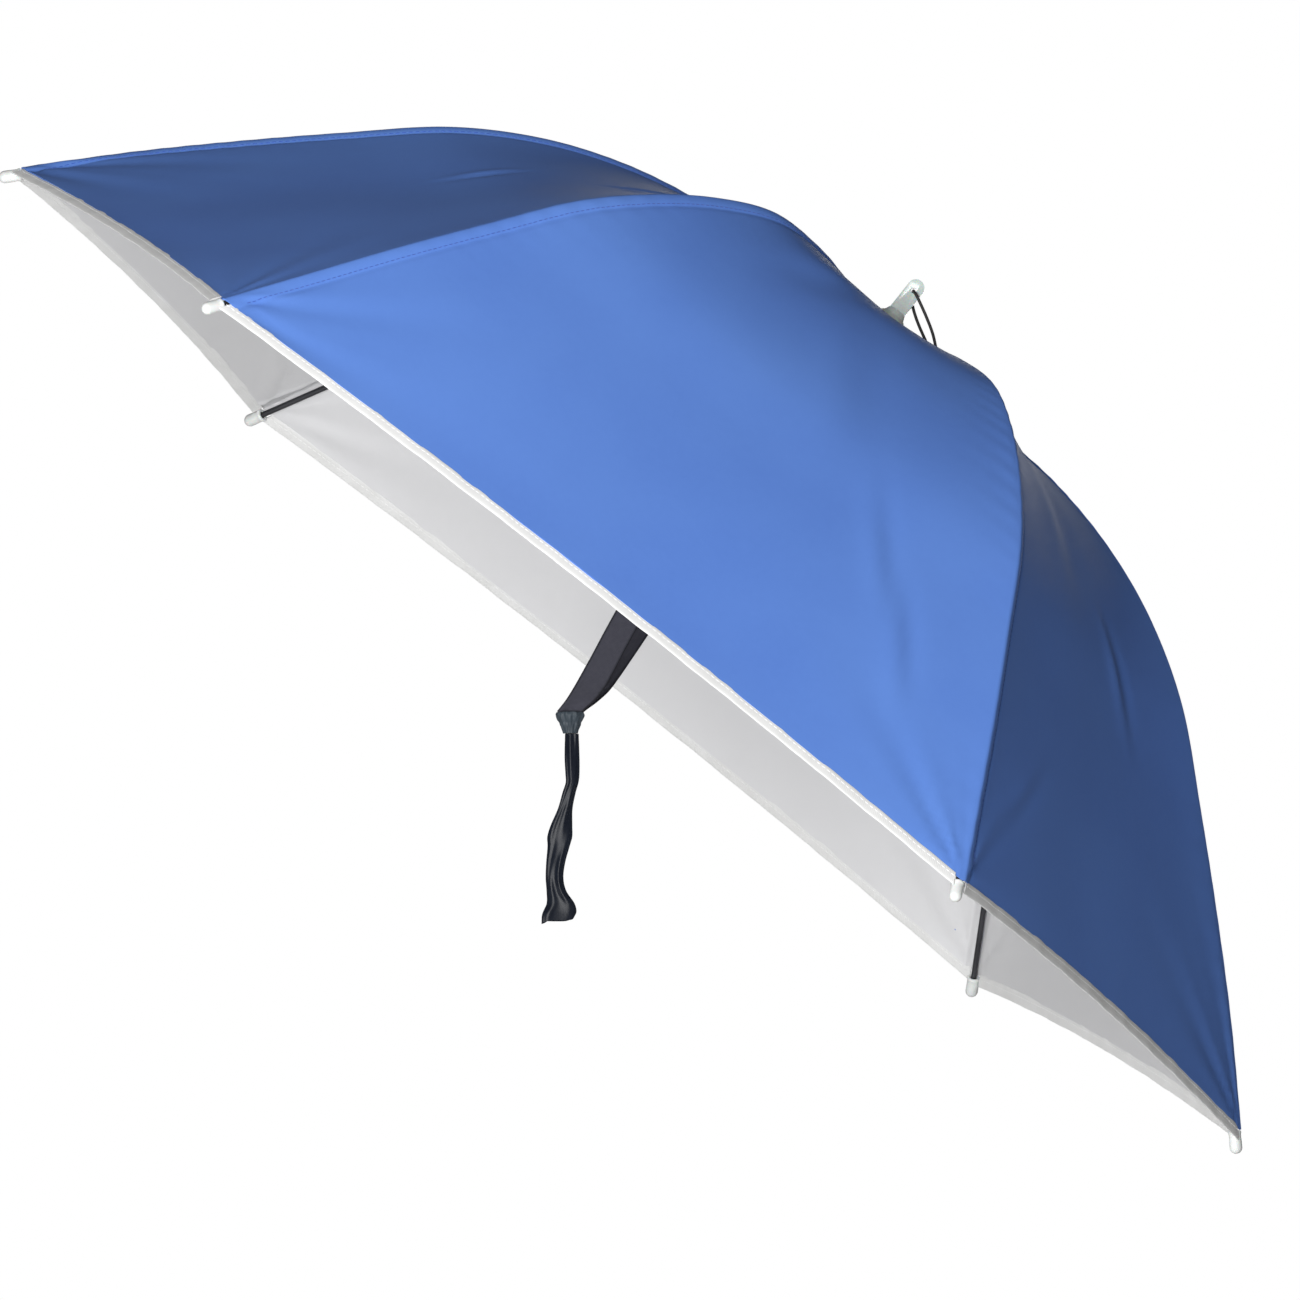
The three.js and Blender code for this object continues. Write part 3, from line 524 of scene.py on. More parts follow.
def milky_plastic():
    """Milky, slightly green translucent plastic."""
    finish = Finish("milky_plastic", {
        "Subsurface Weight": 0.35,
        "Subsurface Scale": 0.006,
        "Coat Weight": 0.3,
        "Coat Roughness": 0.15,
    })
    spot = finish.place()
    cloud = finish.noise(spot, 90, 3)
    colour = finish.blend(cloud, (0.62, 0.69, 0.65, 1), (0.74, 0.79, 0.75, 1))
    return finish.done(Base_Color=colour, Roughness=0.2 + cloud * 0.15, Normal=finish.bump(cloud, 0.0004, 0.2))


def knitted_elastic():
    """Black knitted elastic with fine upright ribs, with shade painted into the grooves between them."""
    finish = Finish("knitted_elastic", {"Roughness": 0.85, "Sheen Weight": 0.3, "Sheen Roughness": 0.5})
    uv = finish.place("UV")
    ribs = finish.wave(finish.axis(uv, "X"), 0.0016)
    courses = finish.wave(finish.axis(uv, "Y"), 0.0009)
    fuzz = finish.noise(finish.place(), 500, 3)
    # The colour is darker in the grooves between the ribs, where the height is low: painted shade. The fuzz
    # varies it at random.
    colour = finish.blend(ribs * 0.6 + fuzz * 0.3, (0.008, 0.008, 0.010, 1), (0.040, 0.042, 0.048, 1))
    height = ribs + courses * 0.4 + fuzz * 0.3
    return finish.done(Base_Color=colour, Normal=finish.bump(height, 0.0003, 0.7))


def braided_elastic():
    """Black braided round elastic."""
    finish = Finish("braided_elastic", {"Sheen Weight": 0.2})
    braid = finish.noise(finish.place(), 1100, 2)
    colour = finish.blend(braid, (0.006, 0.006, 0.007, 1), (0.035, 0.030, 0.028, 1))
    return finish.done(Base_Color=colour, Roughness=0.45 + braid * 0.25, Normal=finish.bump(braid, 0.0002, 0.6))


def charcoal_tape():
    """Charcoal woven tape, near black along both edges."""
    finish = Finish("charcoal_tape", {"Sheen Weight": 0.02, "Sheen Roughness": 0.5, "Specular IOR Level": 0.1})
    uv = finish.place("UV")
    across = finish.axis(uv, "X")
    # The colour goes near black over the outer tenth of the width on each side, round the tape's rounded edges.
    edge = finish.maths("SMOOTH_MAX", finish.maths("ABSOLUTE", across - 0.5) * 2 - 0.80, 0.0, 0.05) * 5
    ribs = finish.wave(finish.axis(uv, "Y"), 0.0010)
    grain = finish.noise(finish.place(), 420, 3)
    body = finish.blend(grain, (0.038, 0.038, 0.051, 1), (0.056, 0.056, 0.071, 1))
    colour = finish.blend(finish.maths("MINIMUM", edge, 1.0), body, (0.006, 0.006, 0.009, 1))
    height = ribs * 0.7 + grain * 0.5
    return finish.done(Base_Color=colour, Roughness=0.6 + grain * 0.2, Normal=finish.bump(height, 0.0002, 0.6))


def gathered_tape():
    """The tape where it is gathered: bluer, with a dull shine."""
    finish = Finish("gathered_tape", {"Sheen Weight": 0.03, "Specular IOR Level": 0.3})
    spot = finish.place()
    grain = finish.noise(spot, 420, 3)
    patch = finish.noise(spot, 120, 2)
    colour = finish.blend(patch, (0.016, 0.024, 0.032, 1), (0.042, 0.056, 0.070, 1))
    return finish.done(Base_Color=colour, Roughness=0.4 + grain * 0.25, Normal=finish.bump(grain, 0.0003, 0.5))


def satin_ribbon():
    """Black satin ribbon: smooth along its length, with fine cross threads."""
    finish = Finish("satin_ribbon", {"Specular IOR Level": 0.12})
    uv = finish.place("UV")
    cross = finish.wave(finish.axis(uv, "Y"), 0.0005)
    worn = finish.noise(finish.place(), 140, 3)
    colour = finish.blend(worn, (0.004, 0.005, 0.009, 1), (0.010, 0.013, 0.020, 1))
    height = cross * 0.3 + worn
    return finish.done(Base_Color=colour, Roughness=0.2 + worn * 0.16, Normal=finish.bump(height, 0.0002, 0.2))


def floor_paint():
    """A plain pale floor that glows a little, so that it lights the hat from below."""
    glow = {"Emission Color": (1, 1, 1, 1), "Emission Strength": 0.1}
    finish = Finish("floor_paint", {"Roughness": 0.9, **glow})
    mottle = finish.noise(finish.place(), 0.6, 2)
    return finish.done(Base_Color=finish.blend(mottle, (0.80, 0.80, 0.80, 1), (0.83, 0.83, 0.83, 1)))


BLUE = blue_cloth()
SILVER = silver_coating()
BINDING = white_binding()
STEEL = dark_steel()
PLASTIC = white_plastic()
MILKY = milky_plastic()
ELASTIC = knitted_elastic()
BRAID = braided_elastic()
TAPE = charcoal_tape()
GATHERED = gathered_tape()
SATIN = satin_ribbon()
WHITE_THREAD = thread("white_thread", (0.86, 0.86, 0.85))
BLUE_THREAD = thread("blue_thread", (0.030, 0.10, 0.46))
BLACK_THREAD = thread("black_thread", (0.012, 0.012, 0.014))

# Camera, at the photograph's angle and framing.
PHOTO_AZIMUTH = math.radians(91.264)
PHOTO_ELEVATION = math.radians(-4.737)
PHOTO_MIDDLE = (-6.2, -61.1, -90.5)
PHOTO_WIDTH = 677.3
LENS = 900
SENSOR = 36


def add_camera():
    lens = bpy.data.cameras.new("camera")
    lens.lens = LENS
    lens.sensor_width = SENSOR
    lens.clip_end = 1000
    camera = bpy.data.objects.new("camera", lens)
    bpy.context.scene.collection.objects.link(camera)
    level = math.cos(PHOTO_ELEVATION)
    back = Vector((
        math.sin(PHOTO_AZIMUTH) * level,
        -math.cos(PHOTO_AZIMUTH) * level,
        math.sin(PHOTO_ELEVATION),
    ))
    camera.location = Vector(PHOTO_MIDDLE) * MM + back * (PHOTO_WIDTH * MM * LENS / SENSOR)
    camera.rotation_mode = "QUATERNION"
    camera.rotation_quaternion = (-back).to_track_quat("-Z", "Y")
    bpy.context.scene.camera = camera


add_camera()


# The elastic loop at the crown.
LOOP_STEPS = 8


def smooth_path(points, steps):
    """Points on a smooth curve through the given ones."""
    points = np.asarray(points, float)
    padded = np.vstack([2 * points[0] - points[1], points, 2 * points[-1] - points[-2]])
    made = []
    for i in range(len(points) - 1):
        p, q, r, s = padded[i : i + 4]
        for t in np.linspace(0, 1, steps, endpoint=False):
            line = 2 * q + (r - p) * t + (2 * p - 5 * q + 4 * r - s) * t**2 + (3 * q - p - 3 * r + s) * t**3
            made.append(line / 2)
    made.append(points[-1])
    return np.array(made)


def elastic_loop():
    path = from_hat(smooth_path(LOOP_ROUTE, LOOP_STEPS)) * MM
    curve = bpy.data.curves.new("elastic_cord", "CURVE")
    curve.dimensions = "3D"
    curve.bevel_depth = ELASTIC_DIAMETER * MM / 2
    curve.bevel_resolution = 4
    curve.use_fill_caps = True
    spline = curve.splines.new("POLY")
    spline.points.add(len(path) - 1)
    for point, place in zip(spline.points, path):
        point.co = (*place, 1)
    curve.materials.append(BRAID)
    loop = bpy.data.objects.new("elastic_cord", curve)
    bpy.context.scene.collection.objects.link(loop)
    dress(loop, "elastic", "elastic_loop")


elastic_loop()

# The canopy's cloth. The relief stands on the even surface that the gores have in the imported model.
CLOTH_WALL = 0.8
GORE_ROWS = 132
GORE_COLUMNS = 78
EDGE_STEPS = (0, 0.7, 1.6, 2.8, 4.2, 5.8, 7.2, 8.2, 8.8, 10.2, 12, 15)
FULL_EDGE = 90
SEAM_WIDTH = 8.4
SEAM_RISE = 1.1
SEAM_GROOVE = 0.5
GROOVE_WIDTH = 1.4
STITCH_LINE = 6
STITCH_LIFT = 0.1
STITCHED_ROWS = slice(10, -2)
PUCKER_DEPTH = 0.55
PUCKER_PITCH = 15
PUCKER_REACH = 11
PUCKER_CLEAR = 2.4
PLEAT_DEPTH = 1.5
PLEAT_REACH = 48
PLEAT_COARSE = 9
PLEAT_FINE = 15
SLACK_DEPTH = 0.45
HEM_RIPPLE = 0.35
CREASE_CLEAR = 6
SLOPE_RUN = 1.25

# Creases left by folding, as seen on the outside: where their middles lie across and along a gore, as shares,
# their turn from the way along the gore in degrees, and their size in millimetres.
CREASE_ROWS = [
    {"gore": "front_left", "across": 0.56, "along": 0.62, "turn": 8, "long": 20, "wide": 2.8, "deep": 0.7},
    {"gore": "front_left", "across": 0.30, "along": 0.44, "turn": -30, "long": 24, "wide": 3.0, "deep": 0.8},
    {"gore": "front_left", "across": 0.24, "along": 0.47, "turn": -70, "long": 12, "wide": 3.0, "deep": 0.6},
    {"gore": "left", "across": 0.22, "along": 0.72, "turn": 24, "long": 34, "wide": 6.0, "deep": 0.8},
    {"gore": "left", "across": 0.15, "along": 0.80, "turn": 16, "long": 30, "wide": 5.0, "deep": 0.9},
    {"gore": "left", "across": 0.66, "along": 0.30, "turn": -20, "long": 50, "wide": 12, "deep": 0.8},
    {"gore": "left", "across": 0.40, "along": 0.52, "turn": 12, "long": 60, "wide": 14, "deep": 0.7},
    {"gore": "back_left", "across": 0.34, "along": 0.62, "turn": 14, "long": 26, "wide": 6.0, "deep": 1.0},
    {"gore": "back_left", "across": 0.82, "along": 0.86, "turn": -48, "long": 22, "wide": 5.0, "deep": 0.9},
    {"gore": "back_left", "across": 0.55, "along": 0.45, "turn": -10, "long": 50, "wide": 12, "deep": 0.8},
    {"gore": "front_right", "across": 0.45, "along": 0.55, "turn": 14, "long": 26, "wide": 5.0, "deep": 0.8},
    {"gore": "right", "across": 0.62, "along": 0.60, "turn": -16, "long": 40, "wide": 8.0, "deep": 0.8},
    {"gore": "back_right", "across": 0.48, "along": 0.50, "turn": 20, "long": 34, "wide": 7.0, "deep": 0.8},
]


def settle(distance, width):
    """0 on a line and 1 well away from it."""
    return 1 - np.exp(-distance / width)


def pleats(beside, below, phase):
    """Folds that spread from a corner, beside and below which a point lies."""
    away = np.hypot(beside, below)
    angle = np.arctan2(beside, np.maximum(below, 0.01))
    folds = np.cos(PLEAT_COARSE * angle + phase) + 0.5 * np.cos(PLEAT_FINE * angle + 2 * phase)
    return PLEAT_DEPTH * folds * np.exp(-away / PLEAT_REACH) * settle(away, 7) * settle(beside, 4) / 1.5


def puckers(beside, run, phase):
    """Small gathers that the seam's thread draws up."""
    ripple = 0.5 + 0.5 * np.cos(2 * math.pi * run / PUCKER_PITCH + 2.2 * np.sin(run / 31 + phase))
    patchy = 0.55 + 0.45 * np.sin(run / 47 + 1.7 * phase)
    return PUCKER_DEPTH * ripple * patchy * np.exp(-beside / PUCKER_REACH) * settle(beside, PUCKER_CLEAR)


def felled_seam(beside):
    """The flat seam that lies on one side of a rib: it swells and steps down at its stitching."""
    share = np.clip(beside / SEAM_WIDTH, 0, 1)
    groove = SEAM_GROOVE * np.exp(-((beside - SEAM_WIDTH) / GROOVE_WIDTH) ** 2)
    return SEAM_RISE * np.sin(math.pi * share**0.6) ** 0.7 * (beside < SEAM_WIDTH) - groove


def creases(name, across, along, chord):
    """The named folding creases of one gore."""
    total = np.zeros_like(across)
    for row in CREASE_ROWS:
        if row["gore"] != name:
            continue
        x = (across - row["across"]) * chord
        y = (along - row["along"]) * (CORNER_REACH - HUB_REACH) * SLOPE_RUN
        turn = math.radians(row["turn"])
        side = (x * math.cos(turn) + y * math.sin(turn)) / row["wide"]
        length = (y * math.cos(turn) - x * math.sin(turn)) / row["long"]
        total += row["deep"] * side * np.exp(0.5 - side**2 / 2 - length**2)
    return total


def gore_relief(name, place, across, along, chord):
    """How far a gore's cloth stands off its even surface."""
    first = across * chord
    second = (1 - across) * chord
    down = (1 - along) * (CORNER_REACH - HUB_REACH) * SLOPE_RUN
    phase = 1.3 * place
    relief = pleats(first, down, phase) + pleats(second, down, phase + 2)
    relief += puckers(first, down, phase) + puckers(second, down, phase + 1)
    middle = np.sin(math.pi * across)
    slow = np.sin(first / 37 + phase) * np.cos(down / 52 + phase)
    slow = slow + 0.6 * np.sin((first + down) / 23 + 2 * phase)
    ripple = np.sin(down / 9 + phase) * np.exp(-down / 14)
    relief += SLACK_DEPTH * middle * slow + HEM_RIPPLE * middle * ripple
    clear = settle(first, CREASE_CLEAR) * settle(second, CREASE_CLEAR)
    return relief + creases(name, across, along, chord) * clear


def grid_normals(points):
    """The outward way at each point of a gore's grid."""
    right = np.gradient(points, axis=1)
    down = np.gradient(points, axis=0)
    normals = unit(np.cross(right, down))
    return np.where(normals[..., 2:] < 0, -normals, normals)


def gore(place):
    first = RIBS[place]
    second = RIBS[(place + 1) % len(RIBS)]
    along = np.linspace(0, 1, GORE_ROWS)[:, None]
    rim = HUB_REACH + along[:, 0] * (CORNER_REACH - HUB_REACH)
    chord = np.linalg.norm(rib_top(second, rim) - rib_top(first, rim), axis=-1)[:, None]
    edge = np.array(EDGE_STEPS)[None] * np.minimum(1, chord / FULL_EDGE) / chord
    middle = np.linspace(0, 1, GORE_COLUMNS)[None, 1:-1]
    inset = edge[:, -1:]
    across = np.concatenate([edge, inset + (1 - 2 * inset) * middle, 1 - edge[:, ::-1]], axis=1)
    reach = HUB_REACH + along * (hem_reach(across) - HUB_REACH)
    even = gore_point(first, second, across, reach)
    normals = grid_normals(even)
    scale = np.minimum(1, chord / FULL_EDGE)
    relief = gore_relief(GORES[place], place, across, along, chord) * scale
    relief += felled_seam((1 - across) * chord / scale) * scale
    outer = even + normals * relief[..., None]
    normals = grid_normals(outer)
    for side, rib in ((0, first), (-1, second)):
        up = rib_frame(rib, reach[:, side])[1]
        lean = (up * normals[:, side]).sum(-1, keepdims=True)
        normals[:, side] = up / np.maximum(lean, 0.5)
    inner = outer - normals * CLOTH_WALL
    rows, columns = across.shape
    count = rows * columns
    top = quads(rows, columns)
    under = quads(rows, columns, base=count)[:, ::-1]
    loop = np.concatenate([
        np.arange(columns),
        np.arange(2, rows + 1) * columns - 1,
        count - 2 - np.arange(columns - 1),
        np.arange(rows - 2, 0, -1) * columns,
    ])
    ahead = np.roll(loop, -1)
    rim_faces = np.stack([loop, loop + count, ahead + count, ahead], -1)
    faces = np.concatenate([top, under, rim_faces])
    finish_of_face = np.concatenate([np.zeros(len(top)), np.ones(len(under)), np.zeros(len(rim_faces))])
    lengths = np.stack([across * chord, along * SLOPE_RUN * (CORNER_REACH - HUB_REACH) + 0 * across], -1)
    uvs = np.tile(lengths.reshape(-1, 2) * MM, (2, 1))
    points = from_hat(np.concatenate([outer.reshape(-1, 3), inner.reshape(-1, 3)]))
    name = GORES[place]
    piece = add_mesh(f"canopy_{name}", points, faces.tolist(), [BLUE, SILVER], finish_of_face, uvs, crease=50)
    dress(piece, "canopy_cloth", f"gore_{name}")
    width, length, area = cut_size(first, second)
    seam_stitching(place, across, outer)


def cut_size(first, second):
    """A gore's width at the rim, its length from hub to hem, and its area, laid flat."""
    reach = np.linspace(HUB_REACH, CORNER_REACH, 60)
    chord = np.linalg.norm(rib_top(second, reach) - rib_top(first, reach), axis=-1)
    middle = gore_point(first, second, np.full_like(reach, 0.5), reach)
    steps = np.linalg.norm(np.diff(middle, axis=0), axis=-1)
    area = ((chord[1:] + chord[:-1]) / 2 * steps).sum()
    return chord[-1], steps.sum(), area


def seam_stitching(place, across, outer):
    """The line of stitches along a gore's felled seam."""
    path = outer[STITCHED_ROWS, -1 - STITCH_LINE]
    beside = outer[STITCHED_ROWS, -2 - STITCH_LINE]
    middles, ways, share = spaced(path, STITCHES["seam"]["pitch"])
    aside = sampled(share, np.linspace(0, 1, len(path)), beside - path)
    ups = unit(np.cross(aside, ways))
    ups = np.where(ups[..., 2:] < 0, -ups, ups)
    rib = RIBS[(place + 1) % len(RIBS)]["name"]
    middles = from_hat(middles + ups * STITCH_LIFT)
    origin = from_hat(np.zeros(3))
    ways = from_hat(ways) - origin
    ups = from_hat(ups) - origin
    made = stitches(f"seam_stitches_{rib}", middles, ways, ups, "seam", BLUE_THREAD)
    dress(made, "canopy_cloth")


# The white binding along each gore's edge.
HEM_WALL = 1.2
HEM_OVERLAP = 0.7
HEM_END = 4.8
HEM_STEPS = 170
HEM_STITCH_OFF = 0.52
HEM_STITCH_IN = 1.1


def hem(place):
    first = RIBS[place]
    second = RIBS[(place + 1) % len(RIBS)]
    a = rib_top(first, CORNER_REACH)
    b = rib_top(second, CORNER_REACH)
    half_span = math.acos(float(unit(a) @ unit(b))) / 2
    inset = (CAP_DIAMETER / 2 + 2 * GAP) / math.cos(half_span) / np.linalg.norm(b - a)
    across = np.linspace(inset, 1 - inset, HEM_STEPS)
    reach = hem_reach(across)
    start = gore_point(first, second, across, reach - HEM_OVERLAP)
    end = gore_point(first, second, across, reach + HEM_END)
    way = unit(np.gradient(start, axis=0))
    down = unit(end - start)
    normal = unit(np.cross(way, down))
    normal = np.where(normal[..., 2:] < 0, -normal, normal)
    run = np.linspace(0, np.linalg.norm(b - a), HEM_STEPS)
    wobble = 0.12 * np.sin(run / 6.1 + place) + 0.08 * np.sin(run / 2.7 + 2 * place)
    middle = (start + end) / 2 + normal * (wobble - HEM_WALL * 0.3)[:, None]
    half = np.linalg.norm(end - start, axis=-1) / 2 * (1 + 0.03 * np.sin(run / 8.3))
    corners = round_corners(1, HEM_WALL / 2, 20, 3)[None] * np.stack([half, np.ones_like(half)], -1)[:, None]
    sections = from_hat(swept(middle, down, normal, corners))
    around = np.linspace(0, 2 * half.mean(), corners.shape[1])
    uvs = np.stack(np.meshgrid(around, run), -1).reshape(-1, 2) * MM
    name = GORES[place]
    dress(tube_mesh(f"binding_{name}", sections, BINDING, uvs), "hem_cloth", f"hem_{name}")
    for face, tag in ((1, "outer"), (-1, "inner")):
        line = middle + normal * face * HEM_WALL * HEM_STITCH_OFF - down * HEM_STITCH_IN
        middles, ways, share = spaced(line, STITCHES["binding"]["pitch"])
        ups = sampled(share, np.linspace(0, 1, len(line)), normal)
        origin = from_hat(np.zeros(3))
        ways = from_hat(ways) - origin
        ups = from_hat(ups) - origin
        row = stitches(f"binding_stitches_{tag}_{name}", from_hat(middles), ways, ups, "binding", WHITE_THREAD)
        dress(row, "hem_cloth")


# The frame: ribs, tip caps, and the moulded pieces.
RIB_STEPS = 96
ROUND = np.linspace(0, 2 * math.pi, 20, endpoint=False)


def steel_rib(rib):
    reach = np.linspace(RIB_INNER, CORNER_REACH, RIB_STEPS)
    middles = rib_centre(rib, reach)
    _, up, across = rib_frame(rib, reach)
    out = rib_frame(rib, np.array([CORNER_REACH]))[0]
    tip = middles[-1:] + out * (CAP_LENGTH - CAP_WALL - GAP)
    middles = np.concatenate([middles, tip])
    up = np.concatenate([up, up[-1:]])
    across = np.concatenate([across, across[-1:]])
    corners = np.stack([np.cos(ROUND), np.sin(ROUND)], -1)[None] * RIB_DIAMETER / 2
    sections = from_hat(swept(middles, across, up, corners))
    name = rib["name"]
    dress(tube_mesh(f"steel_rib_{name}", sections, STEEL), "rib_steel", f"rib_{name}")


# A tip cap's profile as shares of its radius and its length.
CAP_ROWS = [
    {"wide": 0.0, "along": 0.76},
    {"wide": 0.55, "along": 0.76},
    {"wide": 0.55, "along": 0.02},
    {"wide": 0.70, "along": 0.0},
    {"wide": 0.92, "along": 0.0},
    {"wide": 1.03, "along": 0.03},
    {"wide": 1.05, "along": 0.08},
    {"wide": 1.02, "along": 0.13},
    {"wide": 0.96, "along": 0.16},
    {"wide": 0.97, "along": 0.3},
    {"wide": 1.0, "along": 0.55},
    {"wide": 1.0, "along": 0.73},
]
CAP_ARC = 9
CLOSED_RADIUS = 0.02


def tip_cap(rib):
    out, up, across = (way[0] for way in rib_frame(rib, np.array([CORNER_REACH])))
    base = rib_centre(rib, np.array([CORNER_REACH]))[0] + out * GAP
    radius = CAP_DIAMETER / 2
    rows = [(row["wide"] * radius, row["along"] * CAP_LENGTH) for row in CAP_ROWS]
    for turn in np.linspace(0, math.pi / 2, CAP_ARC)[1:]:
        rows.append((radius * math.cos(turn), CAP_LENGTH - radius + radius * math.sin(turn)))
    wide = np.array([max(row[0], CLOSED_RADIUS) for row in rows])
    along = np.array([row[1] for row in rows])
    angle = np.linspace(0, 2 * math.pi, 36, endpoint=False)
    ring = across * np.cos(angle)[:, None] + up * np.sin(angle)[:, None]
    points = base + out * along[:, None, None] + ring[None] * wide[:, None, None]
    name = rib["name"]
    dress(tube_mesh(f"cap_{name}", from_hat(points), PLASTIC, crease=50), "white_plastic", f"tip_cap_{name}")


def moulded(name, node, finish, slot, bevel, segments=3, angle=25):
    """A moulded piece from its solid, with rounded edges and smooth round faces."""
    form = bmesh.new()
    form.from_mesh(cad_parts[node].data)
    bmesh.ops.remove_doubles(form, verts=form.verts, dist=2e-6)
    limit = math.radians(1.5)
    bmesh.ops.dissolve_limit(form, angle_limit=limit, verts=form.verts, edges=form.edges)
    sharp = [edge for edge in form.edges if edge.is_manifold and edge.calc_face_angle() > math.radians(angle)]
    bmesh.ops.bevel(form, geom=sharp, offset=bevel * MM, segments=segments, profile=0.5, affect="EDGES",
                    clamp_overlap=True)
    mesh = bpy.data.meshes.new(name)
    form.to_mesh(mesh)
    form.free()
    mesh.materials.clear()
    mesh.materials.append(finish)
    mesh.polygons.foreach_set("use_smooth", np.ones(len(mesh.polygons), bool))
    mesh.set_sharp_from_angle(angle=math.radians(35))
    piece = bpy.data.objects.new(name, mesh)
    bpy.context.scene.collection.objects.link(piece)
    return dress(piece, slot, node)


# The headband, knitted elastic with rolled edges.
BAND_STEPS = 480
BAND_PROFILE = 30
BAND_MEAN_RADIUS = 90
CHANNEL_PITCH = 4.2
CHANNEL_DEPTH = 0.16
BAND_GATHER = 0.18


def headband():
    angle = np.linspace(0, 2 * math.pi, BAND_STEPS, endpoint=False)
    half_wide = BAND_BREADTH / 2
    half_long = BAND_LENGTH / 2
    rim = np.stack([half_wide * np.cos(angle), half_long * np.sin(angle), np.full_like(angle, BAND_HEIGHT)], -1)
    flat = np.zeros_like(angle)
    normal = unit(np.stack([np.cos(angle) / half_wide, np.sin(angle) / half_long, flat], -1))
    corners = round_corners(BAND_WALL / 2, BAND_TALL / 2, BAND_PROFILE, 6)
    height = corners[:, 1]
    channel = CHANNEL_DEPTH * np.cos(2 * math.pi * height / CHANNEL_PITCH) * (np.abs(height) < BAND_TALL * 0.4)
    thick = corners[:, 0] * (0.92 + channel)
    run = np.linspace(0, BAND_MEAN_RADIUS * math.pi * 2, BAND_STEPS, endpoint=False)
    gather = BAND_GATHER * np.sin(run / 1.9) * np.cos(run / 29)
    drawn_in = (gather[:, None] - BAND_GATHER) * np.sign(corners[None, :, 0]) * 0.5
    offset = -BAND_WALL / 2 - 0.15 + thick[None] + drawn_in
    up = np.array([0.0, 0.0, 1.0])
    points = rim[:, None] + normal[:, None] * offset[..., None] + up * height[None, :, None]
    faces = quads(BAND_STEPS, BAND_PROFILE, ring=True).tolist()
    last = (BAND_STEPS - 1) * BAND_PROFILE
    for side in range(BAND_PROFILE):
        ahead = (side + 1) % BAND_PROFILE
        faces.append([last + side, last + ahead, ahead, side])
    uvs = np.stack(np.broadcast_arrays(run[:, None], height[None]), -1).reshape(-1, 2) * MM
    band = add_mesh("head_band", from_hat(points.reshape(-1, 3)), faces, [ELASTIC], uvs=uvs, crease=60)
    dress(band, "elastic", "headband")


# The chin strap, its slide and its tail.
LEFT = np.array([1.0, 0.0, 0.0])
BACK = np.array([0.0, 1.0, 0.0])
UP = np.array([0.0, 0.0, 1.0])
STRAP_STEPS = 150
STRAP_LEVELS = 0.86
STRAP_FOLDS = 0.8
STRAP_FOLD = 0.75
STRAP_RIPPLE = 0.10
STITCH_MARGIN = 1.8
STRAP_PROFILE = 28


def strap_line(side, share):
    """The middle of one side of the chin strap."""
    rear = (STRAP_FORWARD - STRAP_WIDTH / 2 - STRAP_DRIFT) / (BAND_LENGTH / 2)
    away = BAND_BREADTH / 2 * math.sqrt(1 - rear**2) + GAP + STRAP_WALL / 2
    start = from_hat([0, -STRAP_FORWARD, BAND_HEIGHT + STRAP_SEWN])
    end = np.array([0, -GATHER_FORWARD, -GATHER_DROP + SLIDE_TALL / 2 + GAP])
    forward = table_at(STRAP_ROWS, "along", "forward", share)
    down = table_at(STRAP_ROWS, "along", "down", share)
    out = side * away * table_at(STRAP_ROWS, "along", "out", share)
    return np.stack([out, start[1] + (end[1] - start[1]) * forward, start[2] + (end[2] - start[2]) * down], -1)


def strap_frame(side, share):
    """A strap's direction, the way across its width, and the way off its face."""
    way = unit(strap_line(side, np.minimum(share + 0.01, 1)) - strap_line(side, np.maximum(share - 0.01, 0)))
    level = np.clip((share - STRAP_LEVELS) / (1 - STRAP_LEVELS), 0, 1)[..., None]
    way = unit(way + (-UP - way) * level**2 * (3 - 2 * level))
    face = unit(np.cross(way, LEFT))
    return way, face, np.cross(way, face)


def chin_strap(side, name):
    share = np.linspace(0, 1, STRAP_STEPS)
    middles = strap_line(side, share)
    _, face, thick = strap_frame(side, share)
    wide = STRAP_WIDTH / 2 * table_at(STRAP_ROWS, "along", "wide", share)
    corners = round_corners(1, STRAP_WALL * 0.42, STRAP_PROFILE, 5)
    across = corners[None, :, 0] * np.ones_like(share)[:, None]
    gathered = np.clip((share - STRAP_FOLDS) / (1 - STRAP_FOLDS), 0, 1)[:, None] ** 1.5
    fold = STRAP_FOLD * gathered * np.cos(across * 2.6 * math.pi + 3 * share[:, None])
    ripple = STRAP_RIPPLE * np.sin(share[:, None] * 37 + across * 2)
    section = np.stack([across * wide[:, None], corners[None, :, 1] + fold + ripple], -1)
    points = swept(middles, face, thick, section)
    run = np.concatenate([[0], np.cumsum(np.linalg.norm(np.diff(middles, axis=0), axis=-1))])
    uvs = np.stack([(across + 1) / 2, run[:, None] * MM + 0 * across], -1).reshape(-1, 2)
    dress(tube_mesh(f"strap_tape_{name}", points, TAPE, uvs, crease=60), "strap_tape", f"chin_strap_{name}")
    box_stitches(side, name)


def box_stitches(side, name):
    """The stitched box that holds a strap on the headband."""
    share = np.linspace(0.006, 0.085, 12)
    middles = strap_line(side, share)
    way, face, thick = strap_frame(side, share)
    out = thick * np.sign((thick * LEFT).sum(-1, keepdims=True)) * side
    half = STRAP_WIDTH / 2 - STITCH_MARGIN
    lift = out * STRAP_WALL * 0.44
    sides = [middles + face * half + lift, middles - face * half + lift]
    ends = [np.linspace(sides[0][k], sides[1][k], 8) for k in (0, -1)]
    rows = [spaced(line, STITCHES["strap"]["pitch"]) for line in sides + ends]
    places = np.concatenate([row[0] for row in rows])
    ways = np.concatenate([row[1] for row in rows])
    ups = np.broadcast_to(out[0], ways.shape)
    dress(stitches(f"strap_stitches_{name}", places, ways, ups, "strap", BLACK_THREAD), "strap_tape")


